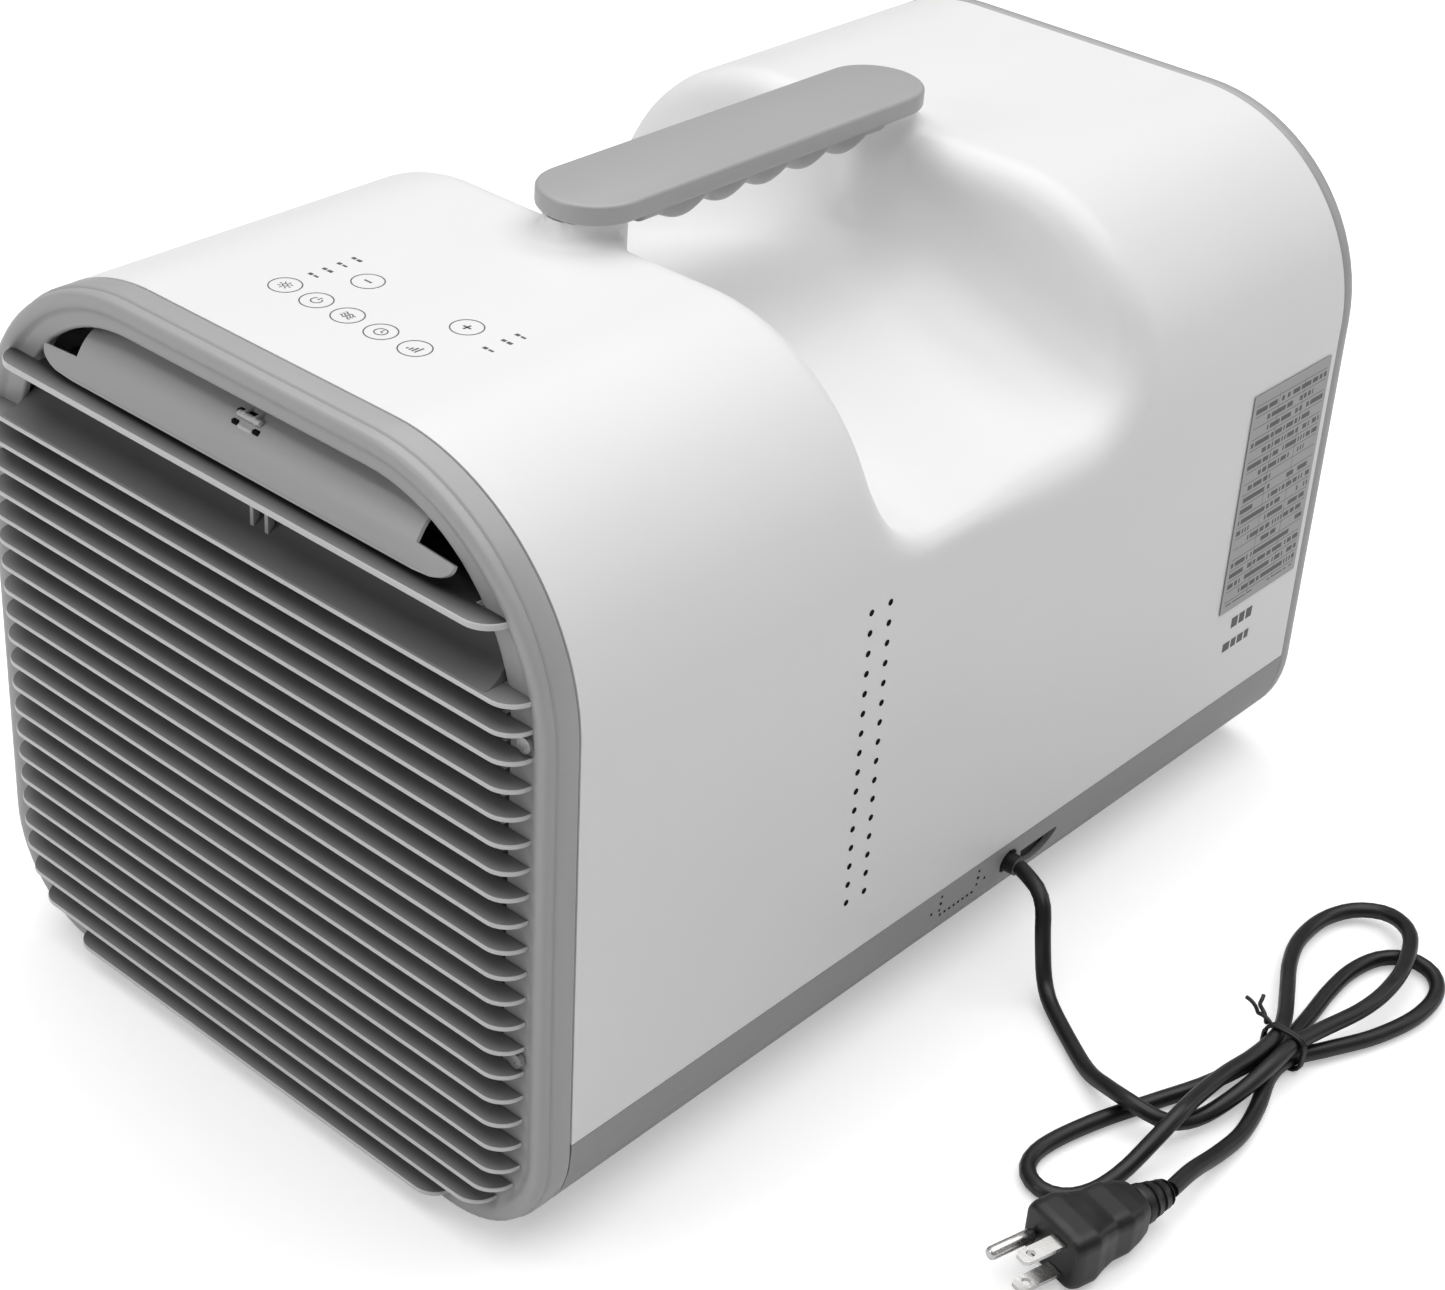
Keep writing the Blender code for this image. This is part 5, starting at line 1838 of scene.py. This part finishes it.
@dataclass(frozen=True)
class SwingVane:
    """The curved outlet vane, on its hinge rod."""

    axis: Point2 = (-0.2040, 0.2650)
    half_width: float = 0.0965
    neck: float = 0.0800
    thickness: float = 0.0014
    ear_start: Point2 = (0.76, 0.79)
    ear_round: float = 0.0160
    rod_radius: float = 0.0016
    spine: tuple[Point2, ...] = (
        (0.0, -0.0004), (-0.0055, -0.0008), (-0.0105, -0.0026), (-0.0150, -0.0057),
        (-0.0185, -0.0104), (-0.0208, -0.0160), (-0.0214, -0.0186),
    )

    def width_at(self, share: float) -> float:
        """Half width of the vane.

        Args:
            share: How far along, from 0 at its hinge to 1 at its edge.

        Returns:
            The neck's half width, or that of the ears, which round off towards the edge.
        """
        if share < self.ear_start[0]:
            return self.neck
        drop = max(0.0, (share - self.ear_start[1]) / (1 - self.ear_start[1]))
        return self.half_width - self.ear_round * (1 - math.sqrt(max(0.0, 1 - drop * drop)))

    def build(self, shop: Workshop) -> None:
        """Make the vane, its rod and its middle clip.

        Args:
            shop: The workshop that finishes the pieces.
        """
        fine = smooth_path([(0.0, y, z) for y, z in self.spine], 0.0009)
        loops = []
        last = len(fine) - 1
        for index, point in enumerate(fine):
            ahead = fine[min(index + 1, last)] - fine[max(index - 1, 0)]
            normal = Vector((0, ahead.z, -ahead.y)).normalized()
            half = self.thickness / 2 * (1.0 if 0 < index < last else 0.45)
            width = self.width_at(index / last)
            base = Vector((0, self.axis[0] + point.y, self.axis[1] + point.z))
            xs = [width * (i / 12 - 1) for i in range(25)]
            loop = [base + normal * half + Vector((x, 0, 0)) for x in xs]
            loop.append(base + Vector((width + half, 0, 0)))
            loop += [base - normal * half + Vector((x, 0, 0)) for x in reversed(xs)]
            loop.append(base - Vector((width + half, 0, 0)))
            loops.append(loop)
        blade = ring_mesh(loops, Ends.CAPPED)
        end = self.neck + 0.0035
        rod = rounded_rod((-end, *self.axis), (end, *self.axis), self.rod_radius, 0.0004, 20)
        made = shop.piece(
            "outlet_vane_plate", merge([blade, rod]), "light_grey", "vane", ["swing_vane"], angle=40.0,
        )
        # Painted highlight along the vane's lower edge.
        shop.paint_rim_highlight(made, "rim_painted_highlight", self.thickness / 2, False)
        self.clip(shop)

    def clip(self, shop: Workshop) -> None:
        """Make the snap hinge in the middle of the vane: a barrel, its tabs and their openings.

        Args:
            shop: The workshop that finishes the pieces.
        """
        y, z = self.axis
        barrel = ((-0.0052, y - 0.0142, z - 0.0032), (0.0052, y - 0.0142, z - 0.0032))
        parts = [rounded_rod(*barrel, 0.0011, 0.0003, 20)]
        for x in (-0.0026, 0.0026):
            parts.append(block((x, y - 0.0123, z - 0.0032), (0.0007, 0.0025, 0.0014), 0.0003))
        parts.append(block((0.0, y - 0.0162, z - 0.0064), (0.0033, 0.0006, 0.0008), 0.0004))
        shop.piece("vane_middle_clip", merge(parts), "clip_grey", "vane")
        # The openings are near-black blocks: painted shade inside them.
        openings = [
            block((-0.0046, y - 0.0126, z - 0.0033), (0.0022, 0.0012, 0.0007), 0.0003),
            block((0.0000, y - 0.0124, z - 0.0031), (0.0020, 0.0012, 0.0007), 0.0003),
        ]
        for x in (-0.0049, 0.0049):
            openings.append(block((x, y - 0.0156, z - 0.0059), (0.0014, 0.0010, 0.0009), 0.0003))
        shop.piece("vane_clip_slots", merge(openings), "hole_painted_shade", "vane")


@dataclass(frozen=True)
class RearEnd:
    """The grey ring round the back and the exhaust grille inside it."""

    profile: tuple[Point2, ...] = (
        (0.0006, 0.2236), (0.0, 0.2242), (0.0, 0.2288), (0.0004, 0.2300), (0.0013, 0.2309),
        (0.0026, 0.2313), (0.0128, 0.2313), (0.0142, 0.2308), (0.0150, 0.2298), (0.0150, 0.2236),
    )
    border_outer: tuple[Point2, ...] = ((0.0155, 0.2250), (0.0153, 0.2276), (0.0160, 0.2281))
    border_inner: tuple[Point2, ...] = ((-0.0006, 0.2281), (0.0, 0.2275), (0.0, 0.2250))
    window: Section = Section(0.0950, 0.0400, 0.2440, 0.010, 0.020, 0.0)
    bars: int = 15
    bar_pitch: float = 0.0136
    bar_half_height: float = 0.0021
    uprights: Point2 = (-0.0320, 0.0320)

    def build(self, shop: Workshop) -> None:
        """Make the ring, a plain border and the bars.

        Args:
            shop: The workshop that finishes the pieces.
        """
        ring = ring_mesh([BODY.loop(inset, y) for inset, y in self.profile], Ends.CLOSED)
        shop.piece("rear_trim_ring", ring, "light_grey", stands_for=["rear_ring"], angle=50.0)
        loops = [BODY.loop(inset, y) for inset, y in self.border_outer]
        loops += [self.window.loop(inset, y) for inset, y in self.border_inner]
        border = ring_mesh(loops, Ends.CLOSED)
        shop.piece("exhaust_border", border, "base_grey", stands_for=["rear_grille"], angle=50.0)
        low, high, corner = self.window.bottom, self.window.top, self.window.top_radius
        bars = []
        for row in range(self.bars):
            z = low + self.bar_pitch * (row + 0.5)
            width = self.window.half_width
            if z > high - corner:
                width -= corner - math.sqrt(max(0.0, corner ** 2 - (z - high + corner) ** 2))
            bottom, top = z - self.bar_half_height, z + self.bar_half_height
            bars.append(cuboid((-width, 0.2252, bottom), (width, 0.2276, top), 0.0009))
        for x in self.uprights:
            bars.append(cuboid((x - 0.0022, 0.2250, low), (x + 0.0022, 0.2279, high), 0.0008))
        shop.piece("exhaust_bars", merge(bars), "base_grey")


# ----------------------------------------------------------------------- printed controls


class Mark(Enum):
    """The generic symbols printed on the touch keys."""

    MODE = "mode"
    POWER = "power"
    SWING = "swing"
    TIMER = "timer"
    SPEED = "speed"
    LESS = "less"
    MORE = "more"


@dataclass(frozen=True)
class TouchPanel:
    """Flush touch keys and indicator marks printed on the top of the shell."""

    top: float = 0.2820
    lift: float = 0.00001
    thickness: float = 0.00006
    ring: float = 0.0055
    stroke: float = 0.00042
    keys: tuple[tuple[float, float, Mark], ...] = (
        (-0.0327, -0.1755, Mark.MODE), (-0.0177, -0.1755, Mark.POWER), (-0.0030, -0.1755, Mark.SWING),
        (0.0124, -0.1755, Mark.TIMER), (0.0279, -0.1755, Mark.SPEED), (-0.0177, -0.1537, Mark.LESS),
        (0.0276, -0.1531, Mark.MORE),
    )
    lamps: tuple[Point2, ...] = (
        (-0.0325, -0.1638), (-0.0325, -0.1578), (-0.0325, -0.1515), (-0.0325, -0.1452),
        (0.0432, -0.1590), (0.0432, -0.1510), (0.0432, -0.1450),
    )

    def ribbon(
        self, bm: BMesh, points: Sequence[Point2], width: float, closed: bool = False,
    ) -> None:
        """Draw a line of ink along points.

        Args:
            bm: The bmesh to draw in.
            points: The points.
            width: The line's width.
            closed: Whether it ends where it starts.
        """
        count = len(points)
        pairs = []
        for i, (x, y) in enumerate(points):
            before = points[(i - 1) % count] if closed or i > 0 else points[i]
            after = points[(i + 1) % count] if closed or i < count - 1 else points[i]
            along = Vector((after[0] - before[0], after[1] - before[1])).normalized()
            side = Vector((-along.y, along.x)) * width / 2
            level = self.top + self.lift
            pairs.append([bm.verts.new((x + s * side.x, y + s * side.y, level)) for s in (1, -1)])
        for i in range(count if closed else count - 1):
            (a, b), (c, d) = pairs[i], pairs[(i + 1) % count]
            bm.faces.new((a, b, d, c))

    def symbol(self, bm: BMesh, mark: Mark, x: float, y: float) -> None:
        """Draw one symbol inside its ring.

        Args:
            bm: The bmesh to draw in.
            mark: The symbol.
            x: The ring's middle along X.
            y: The ring's middle along Y.
        """
        w = self.stroke
        if mark in (Mark.LESS, Mark.MORE):
            self.ribbon(bm, [(x - 0.0017, y), (x + 0.0017, y)], w * 1.7)
            if mark is Mark.MORE:
                self.ribbon(bm, [(x, y - 0.0017), (x, y + 0.0017)], w * 1.7)
        elif mark is Mark.POWER:
            self.ribbon(bm, arc((x, y), 0.0019, 125, 415, 22), w)
            self.ribbon(bm, [(x, y + 0.0005), (x, y + 0.0025)], w)
        elif mark is Mark.MODE:
            self.ribbon(bm, arc((x, y), 0.0009, 0, 345, 23), w, True)
            for ray in range(8):
                angle = math.pi * ray / 4
                reach = [(x + r * math.cos(angle), y + r * math.sin(angle)) for r in (0.0015, 0.0025)]
                self.ribbon(bm, reach, w)
        elif mark is Mark.TIMER:
            self.ribbon(bm, arc((x, y), 0.0022, 0, 345, 23), w, True)
            self.ribbon(bm, [(x, y + 0.0015), (x, y), (x + 0.0011, y - 0.0003)], w)
        elif mark is Mark.SWING:
            for lift in (-0.0012, 0.0, 0.0012):
                wave = [(x - 0.0024 + 0.0003 * i, y + lift + 0.0004 * math.sin(i * 0.8)) for i in range(17)]
                self.ribbon(bm, wave, w)
        else:
            for step, height in enumerate((0.0010, 0.0020, 0.0030, 0.0040)):
                left = x - 0.0019 + 0.00125 * step
                self.ribbon(bm, [(left, y - 0.0020), (left, y - 0.0020 + height)], w * 1.4)

    def build(self, shop: Workshop) -> None:
        """Print all the marks.

        Args:
            shop: The workshop that finishes the pieces.
        """
        bm = bmesh.new()
        for x, y, mark in self.keys:
            self.ribbon(bm, arc((x, y), self.ring, 0, 354, 59), self.stroke, True)
            self.symbol(bm, mark, x, y)
        for index, (x, y) in enumerate(self.lamps):
            self.ribbon(bm, [(x - 0.0022, y), (x - 0.0005, y)], 0.0014)
            self.ribbon(bm, [(x + 0.0002, y), (x + 0.0022, y)], 0.0014 if index % 2 else 0.0009)
        thicken(bm, Vector((0, 0, self.thickness)))
        shop.piece("touch_key_marks", bm, "ink_grey", angle=30.0)


@dataclass(frozen=True)
class Stamp:
    """A row of small blank blocks on the side that faces +X."""

    near: float
    height: float
    size: float
    widths: tuple[float, ...]
    gap: float = 0.0012

    def blocks(self) -> list[BMesh]:
        """The blocks, from the near end on.

        Returns:
            The blocks.
        """
        x = BODY.half_width_at(self.height)
        low, high = self.height - self.size / 2, self.height + self.size / 2
        made = []
        y = self.near
        for width in self.widths:
            made.append(cuboid((x - 0.0004, y, low), (x + 0.00008, y + width, high)))
            y += width + self.gap
        return made


@dataclass(frozen=True)
class SideDetails:
    """Small marks on the cord side: stamps under the rating plate and dimples in the base."""

    stamps: tuple[Stamp, ...] = (
        Stamp(0.1740, 0.0860, 0.0048, (0.0046, 0.0040, 0.0044)),
        Stamp(0.1700, 0.0755, 0.0040, (0.0050, 0.0036, 0.0042, 0.0030)),
    )
    corner_dimples: tuple[Point2, ...] = ((0.0143, 0.0400), (-0.0185, 0.0400))
    dimple_columns: Point2 = (0.0095, -0.0135)
    dimple_radius: float = 0.0006

    def build(self, shop: Workshop) -> None:
        """Make the marks.

        Args:
            shop: The workshop that finishes the pieces.
        """
        blocks = [made for stamp in self.stamps for made in stamp.blocks()]
        shop.piece("shell_stamped_marks", merge(blocks), "ink_grey")
        row = [(0.0080 - 0.0028 * i, 0.0360) for i in range(8)]
        columns = [(y, 0.0360 + 0.0033 * i) for y in self.dimple_columns for i in range(1, 4)]
        dimples = []
        for y, z in (*self.corner_dimples, *row, *columns):
            x = BODY.half_width_at(z)
            start, end = (x - 0.0010, y, z), (x + 0.00005, y, z)
            dimples.append(rounded_rod(start, end, self.dimple_radius, sides=12))
        # The dimples are near-black: painted shade inside them.
        shop.piece("base_dimples", merge(dimples), "hole_painted_shade")


# --------------------------------------------------------------------------------- build

# The CAD nodes that keep their shape, by the finish that they are given.
CARRIED = {
    "base_grey": ("base_tray",),
    "light_grey": ("vane_bracket_left", "vane_bracket_right"),
    "black_rubber": (
        "foot_front_left", "foot_front_right", "foot_rear_left", "foot_rear_right", "drain_bung",
        "compressor_mount_1", "compressor_mount_2", "compressor_mount_3",
    ),
    "black_pvc": ("cord_grommet",),
    "rating_plate": ("rating_plate",),
    "zinc_steel": (
        "vane_motor", "grille_screw_upper_left", "grille_screw_upper_right", "grille_screw_lower_left",
        "grille_screw_lower_right", "blower_shaft", "blower_motor", "fan_shaft", "fan_motor",
        "fan_motor_bracket",
    ),
    "filter_mesh": ("air_filter",),
    "coil_fins": ("evaporator", "condenser"),
    "dark_plastic": (
        "drip_tray", "blower_casing", "outlet_duct", "blower_wheel", "bulkhead", "fan_shroud",
        "condenser_fan",
    ),
    "black_enamel": ("compressor", "accumulator"),
    "copper": ("suction_pipe", "discharge_pipe", "capillary_pipe"),
    "circuit_board": ("touch_board", "main_board"),
    "bare_aluminium": ("run_capacitor",),
}


def main() -> None:
    """Load the frame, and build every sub-assembly in order."""
    logging.basicConfig(level=logging.INFO, format="%(message)s")
    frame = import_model()
    palette = Palette()
    shop = Workshop(palette, frame["nodes"])
    Studio().build(palette)
    for assembly in (
        MainsCord(), WhiteShell(), CarryHandle(), FrontBezel(), LouvreGrille(), OutletLip(), SwingVane(),
        RearEnd(), TouchPanel(), SideDetails(),
    ):
        assembly.build(shop)
    for finish, nodes in CARRIED.items():
        for node in nodes:
            shop.dress(node, finish)


if __name__ == "__main__":
    main()
